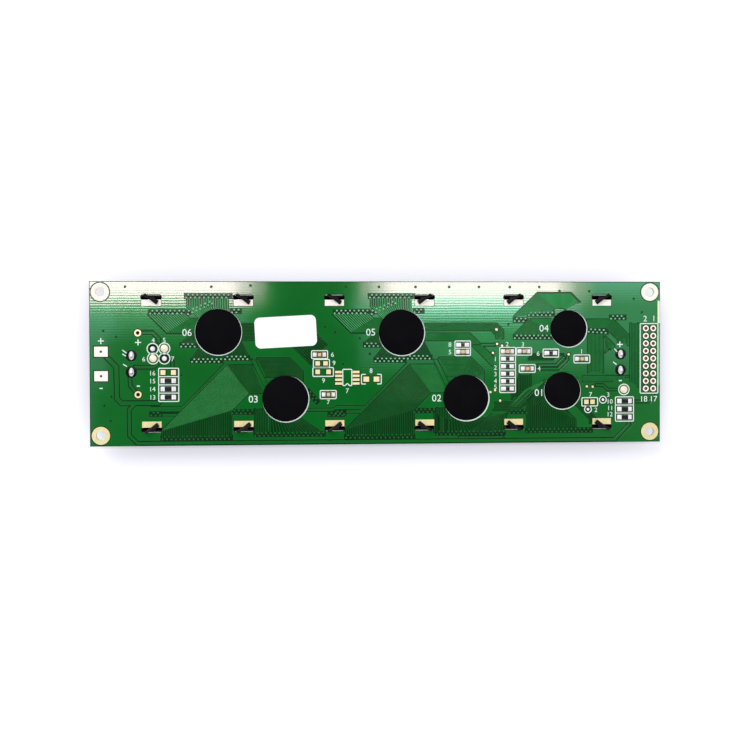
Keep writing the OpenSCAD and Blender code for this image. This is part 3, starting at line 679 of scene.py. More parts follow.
copperPlan = {
    # the left driver chips' routing repeats this far to the right, as far as this
    "setShift": 60.4, "setEnd": 36,
    # laminate left bare of copper: along a bus, round a row of vias, a single via (radius and
    # sides), a wide track, and past a moat's ends
    "busEdge": 0.9, "busReach": 0.3, "viaZone": 1.9, "viaReach": 0.7, "loneVia": (0.42, 10), "trackGap": 0.42,
    "moatReach": 0.1,
    # spacing of the vias along a row, and each line's distance from its middle
    "viaPitch": 1.45, "viaLine": 0.45,
    # how far the sheet stays off pads, slot pads, holes (and the points kept of a hole), the board's
    # edge and the soldered pins (radius and sides)
    "padGap": 0.35, "slotPadGap": 0.12, "holeGap": 0.08, "holePoints": 20, "edgeGap": 0.15,
    "pinMoat": (1.9, 24), "slope": 0.07,
}

# fine conductors: two edge paths with the same corners, how many paths between them, and a tone for
# each stretch (d dark, l light, m middle, p pale); the first list repeats with the set shift
# these stretch tones are painted shade and sheen: one mask, lighter or darker by how each stretch lies to the
# light
repeatedBuses = [
    ([(-42.2, -0.7), (-50.3, -0.7), (-71.6, -22), (-71.6, -24.2)],
     [(-38.4, -9.8), (-43.4, -9.8), (-49.2, -15.6), (-49.2, -24.2)], 32, "dld"),
    ([(-40.6, 1.6), (-30, 1.6), (-25.6, -2.8), (-25.6, -9)],
     [(-37.6, -4.5), (-33.5, -4.5), (-31.5, -6.5), (-31.5, -9)], 16, "ddd"),
    ([(-41.3, -15), (-41.3, -23.2)], [(-37.4, -14.5), (-37.4, -23.2)], 8, "d"),
    ([(-36.3, -18), (-36.3, -23.2)], [(-26, -18.5), (-19.3, -23.2)], 16, "d"),
    ([(-75.6, 16.2), (-69.7, 10.3), (-59.5, 10.3)],
     [(-64.5, 16.4), (-62.7, 14.6), (-59.5, 14.6)], 14, "pl"),
    ([(-63.2, 21.4), (-63.2, 18.8), (-59, 14.6)], [(-50.2, 21.4), (-50.2, 18.5), (-50.2, 16)], 18, "pp"),
    ([(-65.4, 6.5), (-61, 10)], [(-60.4, 6.5), (-58, 8)], 8, "d"),
    ([(-61.9, 1.6), (-58.8, 5.5)], [(-52.4, 1.6), (-52.4, 4.5)], 14, "d"),
    ([(-51, 2.4), (-50, 4.5)], [(-43.5, 2.4), (-46.2, 7.6)], 10, "d"),
]
singleBuses = [
    ([(-45.4, 12.9), (-24.5, 12.9), (-17.6, 6)], [(-45.4, 7.8), (-31, 7.8), (-22.8, -0.4)], 12, "dd"),
    ([(15.2, 12.9), (39.2, 12.9), (41.4, 10.7), (41.4, 8)],
     [(15.2, 10.9), (37.4, 10.9), (39.2, 9.1), (39.2, 8)], 6, "lll"),
    ([(15.2, 9.6), (30.2, 9.6), (38.2, 1.6)], [(15.2, 7.6), (29.2, 7.6), (38, -1.2)], 8, "ll"),
    ([(45.4, 15.4), (53, 22.9), (64.2, 22.9), (67, 20.1)],
     [(57.5, 16.8), (59, 18.3), (62, 18.3), (62.6, 17.7)], 20, "mmm"),
    ([(45.4, 9.3), (50.6, 14.5), (57.5, 14.5)], [(57.4, 9.3), (57.8, 9.7), (58.6, 9.7)], 20, "ll"),
    ([(43.6, -14.7), (49.6, -8.7)], [(46.8, -14.9), (55.6, -6.1)], 8, "l"),
    ([(49.5, -22), (49.5, -13.2), (55.8, -6.9)], [(66, -22), (66, -19.4), (62, -15.4)], 24, "dd"),
    ([(47, -4.2), (47, -10)], [(50.8, -4.2), (50.8, -8.4)], 6, "d"),
    ([(69.8, 14.2), (78.9, 14.2), (84.2, 8.9), (84.2, 5.6)],
     [(70.5, 11.6), (76.6, 11.6), (80.6, 7.6), (80.6, 6.8)], 9, "lll"),
    ([(70.4, 9.4), (70.4, -3.5)], [(75.4, 9.4), (75.4, -3.5)], 12, "l"),
    ([(76.2, 8.6), (79.2, 5.6), (79.2, 4.6)], [(76.2, 3.2), (77.4, 4.4), (78, 4.4)], 9, "ll"),
    ([(84.9, 13), (84.9, -6.5)], [(87.5, 13), (87.5, -8.5)], 6, "l"),
    ([(68.5, -4.9), (84.2, -4.9)], [(68.5, -6.4), (78.5, -6.4)], 5, "l"),
    ([(38.6, -13.5), (45.6, -13.5), (50, -9.1)], [(38.0, -16.0), (46.6, -16.0), (53.2, -9.4)], 6, "dd"),
    ([(30.6, -23.3), (37.6, -17.3)], [(42, -23.3), (42.4, -17.1)], 12, "d"),
    ([(44.4, -5.6), (44.4, -12.4)], [(46.6, -5.6), (46.6, -11.2)], 4, "d"),
    ([(50, 2.6), (62, 2.6)], [(50, 1), (58.4, 1)], 4, "d"),
    ([(18.3, -16.5), (18.3, -23.3)], [(23.2, -19.5), (23.2, -23.3)], 8, "d"),
    ([(66, -14.2), (71, -19.2), (71, -20.6)], [(67.3, -13.4), (73.2, -19.3), (73.2, -20.6)], 4, "dd"),
]

# rows of small vias, from one end to the other
repeatedRows = [
    (-63.6, 22.1, -49.2, 22.1), (-75.3, 16.9, -64.2, 16.9), (-48.7, 17.2, -46.1, 17.2),
    (-65.3, 6, -60.4, 6), (-61.8, 1, -52.2, 1), (-51, 1.8, -43.4, 1.8), (-63.2, 16.6, -54.7, 20.4),
    (-71.6, -24.4, -49.2, -24.4), (-41.3, -23.5, -18.7, -23.5), (-48.8, -16, -42.2, -16),
    (-75.2, -16.5, -72.2, -16.5),
]
singleRows = [
    (45.4, 14.2, 49.2, 14.2), (50.2, 16.2, 58.4, 16.2), (45.4, 8.5, 57.8, 8.5), (70.6, 10.6, 76.8, 10.2),
    (78.2, 15, 82.8, 15), (-11.3, -24.5, -9.5, -24.5), (49.4, -22.9, 71.3, -22.9), (-16.8, -17, -12.2, -17),
    (-23.8, -9.2, -20.8, -12.8), (43.6, -16.5, 49.6, -16.5),
]
# tented single vias
singleVias = [
    (-83.4, 25.2), (-55.4, 25.2), (-11.1, 25.2), (-0.2, 25.2), (12, 25.2), (23.3, 25.2), (33.3, 25.2),
    (43.7, 25.2), (53.7, 25.2), (60.6, 23.9), (70.7, 23.8), (-42.6, 25.6), (-90.5, 10.8), (-86.4, 8.8),
    (-88, -10.7), (-90.3, -13.7), (-88.3, -18.7), (-18.2, 12), (-14.8, 10.2), (-6.6, 8.2), (-3.3, 3),
    (-12.2, -0.4), (86, 21.3), (88.8, 16.7), (-65.3, -3.8), (-42.3, 1.4), (43.2, 12.8), (65.8, 12.8),
]
# wide conductors: path and width
wideTracks = [
    ([(-90.2, 3), (-86.4, -1), (-86.2, -11.4), (-84.8, -12.9), (-73, -12.9), (-71.5, -11.4)], 1.25),
    ([(-80.5, -13.2), (-82.3, -15), (-82.3, -23.5), (-79.7, -26.1), (79.5, -26.1), (84.3, -21.3),
      (84.3, -19.5)], 0.85),
    ([(-78, 10.2), (-74.6, 10.2), (-72.6, 8.2), (-72.6, 6.8)], 0.8),
    ([(-80.6, -1.1), (-74.3, -1.1), (-72.9, 0.3)], 0.8),
    ([(-82, -4.5), (-81.9, -7.2), (-79.9, -9.6)], 0.8),
    ([(-68.2, 1), (-68.2, -1.6)], 0.7),
    ([(86, -13.4), (91.2, -13.4), (92.7, -11.9), (92.7, -9)], 0.6),
    ([(73, -7.8), (75.5, -7.8), (77, -9.3), (81, -9.3)], 0.5),
    ([(52.5, -2.2), (60.3, -2.2), (63.3, 0.8), (63.3, 2)], 0.5),
    ([(53.2, -1), (59.6, -1), (62.2, 1.6)], 0.5),
    ([(26.5, -25.0), (41.5, -25.0)], 0.4),
    ([(30.5, 5.9), (38.6, 5.9)], 0.5),
]
# copper islands left standing in their own moat, and open moats, as outlines
islands = [
    ([(-42.3, 1.0), (-41.2, 1.0), (-37.0, -7.4), (-38.4, -7.4)], 0.3),
    ([(18.1, 1.0), (19.2, 1.0), (23.4, -7.4), (22.0, -7.4)], 0.3),
]
moats = [
    ([(-51.3, 0.1), (-65.3, -14.1), (-75.4, -14.1)], 0.34),
    ([(9.1, 0.1), (-4.9, -14.1), (-14.6, -14.1), (-15.6, -14.9), (-24.5, -14.9)], 0.34),
    ([(-76.3, 16.2), (-70, 9.8), (-60.5, 9.8)], 0.34),
    ([(-15.9, 16.2), (-9.6, 9.8), (-0.1, 9.8)], 0.34),
    ([(45, 15.5), (53, 23.4), (64.5, 23.4), (67.8, 20.1)], 0.34),
    ([(-71.8, -16.1), (-65.6, -16.1)], 0.95),
    ([(-71.6, -17.2), (-66.1, -17.2), (-72, -23.1)], 0.3),
    ([(-29, -16), (-15.4, -16), (-14.9, -15.5), (-6.3, -15.5)], 0.4),
    ([(-12, -16.8), (-5.9, -16.8), (-11.8, -22.7)], 0.3),
]


def moved(places, right, up=0):
    return [(x + right, y + up) for x, y in places]


def spread(first, last, count):
    # paths spread evenly between two edge paths
    return [[(ax + (bx - ax) * i / (count - 1), ay + (by - ay) * i / (count - 1))
             for (ax, ay), (bx, by) in zip(first, last)] for i in range(count)]


shift = copperPlan["setShift"]
# the right hand set catches the light another way, so its tones differ
swapped = {"dld": "ldd", "ddd": "lll"}
buses = repeatedBuses + singleBuses + [
    (moved(a, shift), moved(b, shift), count, swapped.get(tones, tones))
    for a, b, count, tones in repeatedBuses if min(x for x, _ in a) + shift < copperPlan["setEnd"]]
rows = repeatedRows + singleRows + [
    (x + shift, y, u + shift, v) for x, y, u, v in repeatedRows]

fineTracks = {stretchShade[0].lower(): [] for stretchShade in trackShadeTones}
painting = []  # copper or bare, outline; each covers the ones before it
for first, last, count, tones in buses:
    painting.append((False, first + last[::-1]))
    painting += [
        (False, strokeLoop(edge, copperPlan["busEdge"], copperPlan["busReach"])) for edge in (first, last)]
    for path in spread(first, last, count):
        for i, tone in enumerate(tones):
            if i and tones[i - 1] == tone:
                fineTracks[tone][-1].append(path[i + 1])
            else:
                fineTracks[tone].append(path[i:i + 2])

viaSpots = []  # centres of all vias of the rows
for x, y, u, v in rows:
    run, away = Vector((x, y)), Vector((u - x, v - y))
    length = away.length
    away.normalize()
    aside = Vector((-away.y, away.x)) * copperPlan["viaLine"]
    painting.append((False, strokeLoop([(x, y), (u, v)], copperPlan["viaZone"], copperPlan["viaReach"])))
    for line in (0, 1):
        at = line * copperPlan["viaPitch"] / 2
        while at <= length:
            viaSpots.append(tuple(run + away * at + aside * (1 if line else -1)))
            at += copperPlan["viaPitch"]

for outline, gap in islands:
    painting += [(False, growLoop(outline, gap)), (True, outline)]
trackGap = copperPlan["trackGap"]
painting += [(False, strokeLoop(path, width, copperPlan["moatReach"])) for path, width in moats]
painting += [(False, strokeLoop(path, width + 2 * trackGap, trackGap)) for path, width in wideTracks]
painting += [(True, strokeLoop(path, width)) for path, width in wideTracks]
painting += [(False, circleLoop(x, y, *copperPlan["loneVia"])) for x, y in singleVias]
print("layout drawn:", len(painting), "outlines,", len(viaSpots), "vias")


sheetPlan = {"joined": 0.002, "leastArea": 1e-7, "sharpest": 0.4}  # points this near are one


def addRaisedSheet(name, painting, foot, top, slope, finish):
    # a thin sheet over the painted area, with sloping walls round every opening
    points, edges = [], []
    for _, loop in painting:
        first = len(points)
        points += [Vector(p) for p in loop]
        edges += [(first + i, first + (i + 1) % len(loop)) for i in range(len(loop))]
    verts, _, faces, *_ = geometry.delaunay_2d_cdt(points, edges, [], 0, sheetPlan["joined"])
    verts, faces = np.array([v[:] for v in verts]), np.array(faces)
    a, b, c = (verts[faces[:, i]] for i in range(3))
    area = ((b - a)[:, 0] * (c - a)[:, 1] - (b - a)[:, 1] * (c - a)[:, 0]) / 2
    faces[area < 0] = faces[area < 0][:, ::-1]
    centres = verts[faces].mean(axis=1)
    kept = np.zeros(len(faces), bool)
    for covered, loop in painting:
        kept[insideLoop(centres, loop)] = covered
    faces = faces[kept & (np.abs(area) > sheetPlan["leastArea"])]
    directed = {(t[i], t[(i + 1) % 3]) for t in faces.tolist() for i in range(3)}
    rim = [(p, q) for p, q in directed if (q, p) not in directed]
    inward = {}
    for p, q in rim:
        along = verts[q] - verts[p]
        across = np.array((-along[1], along[0])) / max(np.hypot(*along), 1e-9)
        for end in (p, q):
            inward.setdefault(end, []).append(across)
    used = sorted(set(faces.ravel().tolist()))
    place = {v: i for i, v in enumerate(used)}
    coords = [(*(verts[v] * mm), foot * mm) for v in used]
    for v in used:
        moved = verts[v].copy()
        if v in inward:
            total = sum(inward[v])
            moved += total / max(1 + inward[v][0].dot(inward[v][-1]), sheetPlan["sharpest"]) * slope
        coords.append((*(moved * mm), top * mm))
    up = len(used)
    polygons = [tuple(place[v] + up for v in t) for t in faces.tolist()]
    polygons += [tuple(place[v] for v in t[::-1]) for t in faces.tolist()]
    polygons += [(place[p], place[q], place[q] + up, place[p] + up) for p, q in rim]
    mesh = bpy.data.meshes.new(name)
    mesh.from_pydata(coords, [], polygons)
    mesh.validate()
    mesh.materials.append(finishes[finish])
    print(name, "has", len(mesh.polygons), "faces")
    return addPiece(name, mesh)


pinSpots = []
for side in ("left", "right"):
    for pole in ("anode", "cathode"):
        low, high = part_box("%s_pin_%s" % (pole, side))
        pinSpots.append(((low.x + high.x) / 2 / mm, (low.y + high.y) / 2 / mm))

boardLoops = sorted(topLoops("circuit_board", boardHigh.z), key=lambda loop: -abs(loopArea(loop)))
padLoops = topLoops("solder_pads", padTop)
padOutlines = [loop for loop in padLoops if loopArea(loop) > 0]
coverSpots = []
for index in range(1, 7):
    low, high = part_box("chip_cover_%d" % index)
    coverSpots.append(((low.x + high.x) / 2 / mm, (low.y + high.y) / 2 / mm, (high.x - low.x) / 2 / mm))

slotPadPlan = {"least": 4.8, "corners": 30, "row": 15}


def isSlotPad(loop):
    # a long pad with few corners beside the slots of the far or the near row
    left, low, right, high = loopBox(loop)
    inRow = abs(low + high) / 2 > slotPadPlan["row"]
    return inRow and right - left > slotPadPlan["least"] and len(loop) < slotPadPlan["corners"]


sheetPainting = [(True, growLoop(boardLoops[0], -copperPlan["edgeGap"]))] + painting
for loop in padOutlines:
    gap = copperPlan["slotPadGap"] if isSlotPad(loop) else copperPlan["padGap"]
    sheetPainting.append((False, growLoop(thinLoop(loop), gap)))
sheetPainting += [(False, circleLoop(x, y, *copperPlan["pinMoat"])) for x, y in pinSpots]
sheetPainting += [(False, growLoop(thinLoop(loop, copperPlan["holePoints"]), copperPlan["holeGap"]))
                  for loop in boardLoops[1:]]
addRaisedSheet("mask_over_pour", sheetPainting, boardHigh.z, maskTop, copperPlan["slope"],
               "maskOverCopper")

trackPlan = {"width": 0.24, "footWidth": 0.3, "thickness": maskRise}
for stretchShade in trackShadeTones:
    addRibbons("fine_tracks_" + stretchShade.lower(), fineTracks[stretchShade[0].lower()], boardHigh.z,
               dict(trackPlan, finish="maskOverTracks" + stretchShade))

# the mask domes over each via: in the far rows their pale tone is a painted glint of the glare, while the
# near half's rows take a darker tone as painted shade; a near-black disc set off to the near side of each is
# its mouth and painted shadow
viaPlan = {
    "outer": 0.34, "hole": 0.02, "thickness": 0.05, "slope": 0.3, "sides": 12, "finish": "viaMaskAndGlint",
    "darkBelow": -5,
}
mouthShadowPlan = {
    "outer": 0.36, "hole": 0.02, "thickness": 0.02, "slope": 0.0, "sides": 12, "finish": "paintedViaAndHoleShade",
    "aside": (0.08, -0.42),
}
addRings("via_domes", [spot for spot in viaSpots if spot[1] > viaPlan["darkBelow"]], boardHigh.z, viaPlan)
addRings("via_domes_dark", [spot for spot in viaSpots if spot[1] <= viaPlan["darkBelow"]], boardHigh.z,
         dict(viaPlan, finish="maskOverTracksLight"))
addRings("via_mouth_shadows", moved(viaSpots, *mouthShadowPlan["aside"]), boardHigh.z, mouthShadowPlan)
print("mask and tracks laid")


holePlan = {
    # radii of the board's round holes, and how far a hole's width may be off
    "mount": 1.6, "header": 0.56, "wire": 0.6, "land": 0.4, "slack": 0.06,
    # plated walls, how far they sink into the board and end below the pads, and their flanges
    "wall": 0.05, "sunk": 0.02, "below": 0.004, "sides": 24, "flange": 0.035, "mountRing": 2.95,
    "pinRing": 0.95,
    # what closes the holes from below: a disc of painted shade in the wire holes, flux film in the others
    "holeShadeDisc": 0.58, "shadeDiscDeep": 0.3, "headerFilm": 0.53, "landFilm": 0.41, "filmDeep": 1.0, "filmHole": 0.02,
}


def holesOf(kind):
    # centres of the board's round holes of one kind
    across = 2 * holePlan[kind]
    spots = []
    for loop in boardLoops[1:]:
        left, low, right, high = loopBox(loop)
        if max(abs(right - left - across), abs(high - low - across)) < holePlan["slack"]:
            spots.append(((left + right) / 2, (low + high) / 2))
    return spots


def addBarrels(kind, finish, flange=None):
    # a plated wall through the board, with its flange on the underside where that shows
    name, spots, radius = kind + "_barrels", holesOf(kind), holePlan[kind]
    wall = {
        "outer": radius + holePlan["sunk"], "hole": radius - holePlan["wall"], "slope": 0.0,
        "thickness": padTop - holePlan["below"] - boardLow.z, "sides": holePlan["sides"], "finish": finish,
    }
    addRings(name, spots, boardLow.z, wall)
    if flange:
        ring = dict(wall, outer=flange, thickness=holePlan["flange"])
        addRings(name + "_flanges", spots, boardLow.z - holePlan["flange"], ring)
    print(name, "at", len(spots), "holes")


addBarrels("mount", "immersionGold", holePlan["mountRing"])
addBarrels("header", "darkenedPlating", holePlan["pinRing"])
addBarrels("wire", "darkenedPlating")
# a near-black disc low in each wire hole paints its shade, and flux has closed the others
holeShadeDisc = {
    "outer": holePlan["holeShadeDisc"], "hole": holePlan["filmHole"], "slope": 0.0, "thickness": holePlan["shadeDiscDeep"],
    "sides": holePlan["sides"], "finish": "paintedViaAndHoleShade",
}
addRings("wire_hole_shade_discs", holesOf("wire"), boardLow.z, holeShadeDisc)
for kind in ("header", "land"):
    film = dict(holeShadeDisc, outer=holePlan[kind + "Film"], thickness=holePlan["filmDeep"], finish="fluxFilm")
    addRings(kind + "_hole_films", holesOf(kind), boardLow.z, film)

# a pale film over the header's rings is wiped solder; over the wire lands, the far slot pads and the far
# mounting rings it is a painted highlight of the glare
wipePlan = {
    "thickness": 0.012, "ring": (1.0, 0.57), "mountRing": (2.9, 1.65), "mountSides": 48, "ringSlope": 0.02,
    "padInset": 0.04, "padSlope": 0.03, "landWide": (4, 5), "landsEnd": -80, "landHole": (0.44, 24),
}
wipe = dict(holeShadeDisc, outer=wipePlan["ring"][0], hole=wipePlan["ring"][1], thickness=wipePlan["thickness"],
            slope=wipePlan["ringSlope"], finish="wipedSolderAndGlare")
addRings("header_ring_wipes", holesOf("header"), padTop, wipe)
leastWide, mostWide = wipePlan["landWide"]
glareWipes = []
for loop in padOutlines:
    left, low, right, high = loopBox(loop)
    isLand = leastWide < right - left < mostWide and right < wipePlan["landsEnd"]
    if isLand or (isSlotPad(loop) and low > 0):
        glareWipes.append((True, growLoop(loop, -wipePlan["padInset"])))
    if isLand:
        glareWipes.append((False, circleLoop((left + right) / 2, (low + high) / 2, *wipePlan["landHole"])))
addRaisedSheet("pad_glare_wipes", glareWipes, padTop, padTop + wipePlan["thickness"], wipePlan["padSlope"],
               "wipedSolderAndGlare")
mountWipe = dict(wipe, outer=wipePlan["mountRing"][0], hole=wipePlan["mountRing"][1],
                 sides=wipePlan["mountSides"])
addRings("mount_ring_glare_wipes", [spot for spot in holesOf("mount") if spot[1] > 0], padTop, mountWipe)

# strips along the right edge: cream where a painted highlight of the cut edge, then pale green lower down
edgeStripPlan = {
    "width": 0.7, "footWidth": 0.74, "thickness": 0.012, "finish": "paintedEdgeHighlight",
    "bare": [[(94.55, 20.6), (94.55, 13)]], "paleStretch": [[(94.5, 12.7), (94.5, -8)]],
}
addRibbons("edge_margin_bare", edgeStripPlan["bare"], maskTop, edgeStripPlan)
addRibbons("edge_pale_strip", edgeStripPlan["paleStretch"], maskTop,
           dict(edgeStripPlan, finish="maskOverTracksPale"))
print("holes plated and pads wiped")


legendPlan = {
    "width": 0.29, "footWidth": 0.33, "thickness": silkRise, "corner": 0.3, "finish": "legendInk",
    "roundSides": 28,
}
# left, top, right, bottom and the levels of the dividing lines
legendBoxes = [
    (-72.7, -1.5, -66.2, -12.4, (-4.25, -6.95, -9.65)), (-22.6, 4.1, -17.3, 1.5, ()),
    (-22.0, 1.2, -16.7, -1.4, ()), (-22.2, -1.5, -15.4, -4.4, ()), (-19.8, -9.1, -14.5, -11.8, ()),
    (25.2, 7.2, 30.4, 2.3, (4.75,)), (40.3, 5.0, 45.6, -10.1, (2.45, -0.05, -2.55, -5.05, -7.55)),
    (45.9, 4.9, 51.1, 2.4, ()), (46.9, -0.8, 52.3, -3.4, ()), (55.0, 4.4, 60.3, 1.7, ()),
    (65.5, 2.4, 70.9, -0.3, ()), (68.2, -12.0, 73.6, -14.8, ()),
    (79.7, -11.8, 85.9, -20.0, (-14.55, -17.25)),
    (88.2, 12.9, 94.3, -10.6, ()),
]
legendLines = [
    [(-12.3, -7.5), (-12.3, -2.1), (-9.3, -2.1), (-9.3, -7.5), (-10.1, -7.5), (-10.8, -6.7), (-11.5, -7.5),
     (-12.3, -7.5)],
    [(-4.7, -3.8), (-6.1, -3.8), (-6.1, -7.0), (-4.7, -7.0)],
    [(-0.9, -3.8), (0.5, -3.8), (0.5, -7.0), (-0.9, -7.0)],
    [(-84.4, 4.5), (-83.0, 3.5)], [(-84.4, 3.2), (-83.2, 2.5)], [(-84.2, -0.1), (-82.9, -0.9)],
    [(79.3, 4.5), (80.3, 3.4)], [(78.9, 0.0), (80.1, -0.9)],
]
legendCircles = [
    (-74.6, 4.9, 1.8), (-70.8, 5.0, 1.8), (-74.5, 1.7, 1.8), (-70.8, 1.7, 1.8), (82.6, -9.3, 1.8),
    (75.4, -12.7, 1.15), (70.3, -15.9, 1.15),
]
# the printed ring that kept each poured cover in its place, and how far the pour lies off it
coverRingPlan = {
    "width": 0.4, "footWidth": 0.44, "inward": 0.12, "sides": 72,
    "shifts": [(0.03, -0.2), (0.28, -0.26), (0.16, -0.17), (0.19, -0.16), (0.14, -0.18), (0.04, -0.14)],
}

outlines = []
for left, top, right, low, levels in legendBoxes:
    outlines.append([(left, low), (right, low), (right, top), (left, top), (left, low)])
    outlines += [[(left, level), (right, level)] for level in levels]
outlines += legendLines
for x, y, radius in legendCircles:
    loop = circleLoop(x, y, radius, legendPlan["roundSides"])
    outlines.append(loop + loop[:1])
addRibbons("legend_outlines", outlines, maskTop, legendPlan)

rings = []
for (x, y, radius), (right, up) in zip(coverSpots, coverRingPlan["shifts"]):
    loop = circleLoop(x + right, y + up, radius - coverRingPlan["inward"], coverRingPlan["sides"])
    rings.append(loop + loop[:1])
addRibbons("legend_cover_rings", rings, maskTop, dict(
    legendPlan, corner=0, width=coverRingPlan["width"], footWidth=coverRingPlan["footWidth"]))

# plain numbers and polarity signs: text, middle, height of a figure
legendNumbers = [
    ("06", -63.4, 10.2, 2.3), ("05", -3.0, 10.2, 2.3), ("03", -41.9, -11.8, 2.3), ("02", 19.0, -11.8, 2.3),
    ("04", 55.3, 11.4, 2.3), ("01", 53.4, -10.2, 2.3),
    ("4", -74.4, 7.7, 1.5), ("5", -70.8, 7.7, 1.5), ("6", -77.5, 1.5, 1.5), ("7", -68.1, 1.6, 1.5),
    ("16", -74.6, -3.1, 1.5), ("15", -74.6, -5.7, 1.5), ("14", -74.6, -8.3, 1.5), ("13", -74.6, -11.0, 1.5),
    ("6", -15.7, 2.8, 1.5), ("9", -15.2, 0.0, 1.5), ("9", -18.7, -5.8, 1.5), ("7", -10.8, -9.2, 1.5),
    ("8", -2.9, -2.6, 1.5), ("7", -17.1, -12.9, 1.5),
    ("8", 23.5, 6.0, 1.5), ("5", 23.5, 3.5, 1.5), ("2", 42.8, 6.1, 1.5), ("3", 48.1, 6.0, 1.5),
    ("1", 38.8, 1.1, 1.5), ("2", 38.8, -1.7, 1.5), ("3", 38.8, -3.9, 1.5), ("4", 38.8, -6.2, 1.5),
    ("5", 38.8, -8.2, 1.5), ("4", 53.6, -2.1, 1.5), ("6", 53.3, 2.9, 1.5), ("1", 68.1, 3.6, 1.5),
    ("7", 71.2, -10.9, 1.5), ("10", 77.9, -13.3, 1.5), ("11", 77.9, -15.5, 1.5), ("12", 77.9, -17.6, 1.5),
    ("3", 77.2, -11.0, 1.5), ("2", 73.0, -16.1, 1.5),
    ("2", 89.9, 14.6, 1.9), ("1", 92.9, 14.6, 1.9), ("18", 89.6, -12.5, 1.9), ("17", 93.0, -12.5, 1.9),
    ("+", -91.3, 7.5, 2.9), ("-", -91.3, -8.0, 2.9), ("+", -79.3, 7.0, 2.9), ("-", -79.3, -7.3, 2.9),
    ("+", 81.2, 5.9, 2.9), ("-", 81.4, -6.3, 2.9),
]


figurePlan = {"resolution": 3, "joined": 1e-5}


def figureShape(text):
    # one text as a closed solid, one unit thick, and its box
    curve = bpy.data.curves.new("figure", "FONT")
    curve.body = text
    curve.resolution_u = figurePlan["resolution"]
    curve.extrude = 0.5
    holder = bpy.data.objects.new("figure", curve)
    scene.collection.objects.link(holder)
    view = bpy.context.evaluated_depsgraph_get()
    view.update()
    mesh = bpy.data.meshes.new_from_object(holder.evaluated_get(view), depsgraph=view)
    bpy.data.objects.remove(holder)
    shape = bmesh.new()
    shape.from_mesh(mesh)
    bmesh.ops.remove_doubles(shape, verts=shape.verts, dist=figurePlan["joined"])
    return shape, loopBox([vert.co.xy for vert in shape.verts])


def addFigures(name, marks, foot, thickness, finish):
    whole = bmesh.new()
    zero, (_, low, _, high) = figureShape("0")
    figureHeight = high - low
    zero.free()
    for text, x, y, height in marks:
        shape, (left, low, right, high) = figureShape(text)
        size = height / figureHeight
        for vert in shape.verts:
            vert.co = Vector((
                (x + (vert.co.x - (left + right) / 2) * size) * mm,
                (y + (vert.co.y - (low + high) / 2) * size) * mm,
                (foot + thickness / 2 + vert.co.z * thickness) * mm))
        part = bpy.data.meshes.new("part")
        shape.to_mesh(part)
        shape.free()
        whole.from_mesh(part)
    return addPiece(name, meshFrom(whole, name, [finish]))


addFigures("legend_numbers", legendNumbers, maskTop, silkRise, "legendInk")
print("legend printed")


def closeCircles(shape, circles, crown):
    # faces of a turned form: its sides, its top round the crown and its foot
    around = len(circles[0])
    for inner, outer in zip(circles[1:], circles):
        for k in range(around):
            shape.faces.new((outer[k - 1], outer[k], inner[k], inner[k - 1]))
    for k in range(around):
        shape.faces.new((circles[-1][k - 1], circles[-1][k], crown))
    shape.faces.new(circles[0][::-1])


# how far the outline and the crown wander inwards, how finely, and the noise's step between covers
coverPlan = {
    "rimRadius": 0.7, "around": 96, "rimSteps": 7, "topSteps": 12,
    "sway": 0.012, "swayGrain": 1.4, "swayStep": 3.1, "swell": 0.05, "swellGrain": 0.25, "swellStep": 5.3,
}


def addCover(index):
    # a shallow cap with a rounded rim, poured a little unevenly
    node = "chip_cover_%d" % index
    low, high = [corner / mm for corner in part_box(node)]
    centre = (low + high) / 2
    radius, rise = (high.x - low.x) / 2, high.z - low.z
    rim = coverPlan["rimRadius"]
    arc = ((radius - rim) ** 2 + rise ** 2 - rim ** 2) / (2 * (rise - rim))
    lean = math.asin((radius - rim) / (arc - rim))
    profile = []
    for i in range(coverPlan["rimSteps"]):
        turn = (math.pi / 2 - lean) * i / coverPlan["rimSteps"]
        profile.append((radius - rim + rim * math.cos(turn), rim * math.sin(turn)))
    for i in range(coverPlan["topSteps"]):
        turn = lean * (1 - i / coverPlan["topSteps"])
        profile.append((arc * math.sin(turn), rise - arc + arc * math.cos(turn)))
    shape = bmesh.new()
    around = coverPlan["around"]
    swayAside = Vector((index * coverPlan["swayStep"], 0, 0))
    circles = []
    for reach, up in profile:
        ring = []
        for k in range(around):
            turn = 2 * math.pi * k / around
            side = Vector((math.cos(turn), math.sin(turn), 0))
            sway = noise.noise(side * coverPlan["swayGrain"] + swayAside) * 0.5 + 0.5
            spot = side * reach * (1 - coverPlan["sway"] * sway)
            swell = noise.noise(Vector((
                spot.x * coverPlan["swellGrain"], spot.y * coverPlan["swellGrain"],
                index * coverPlan["swellStep"]))) * 0.5 + 0.5
            level = up * (1 - coverPlan["swell"] * swell)
            ring.append(shape.verts.new(
                ((centre.x + spot.x) * mm, (centre.y + spot.y) * mm, (low.z + level) * mm)))
        circles.append(ring)
    crown = shape.verts.new((centre.x * mm, centre.y * mm, (high.z - coverPlan["swell"] * rise / 2) * mm))
    closeCircles(shape, circles, crown)
    mesh = meshFrom(shape, "epoxy_cover_%d" % index, ["pouredEpoxy"], smooth=True)
    addPiece(mesh.name, mesh, [node])


for index in range(1, 7):
    addCover(index)
print("covers poured")


chipPlan = {
    "capLong": {"large": 0.5, "small": 0.4, "capacitor": 0.5}, "largeFrom": 2.6,
    # edge radius, and how far the body lies inside the wrapped ends
    "round": 0.09, "bodyRound": 0.6, "endIn": 0.05, "sideIn": 0.05, "footIn": 0.02, "topIn": 0.05,
    # glass over the element: its start as a share of the ends' length, its place and thickness
    "glazeFrom": 0.85, "glazeSideIn": 0.03, "glazeDeep": 0.1, "glazeTopIn": 0.01, "glazeRound": 0.025,
}


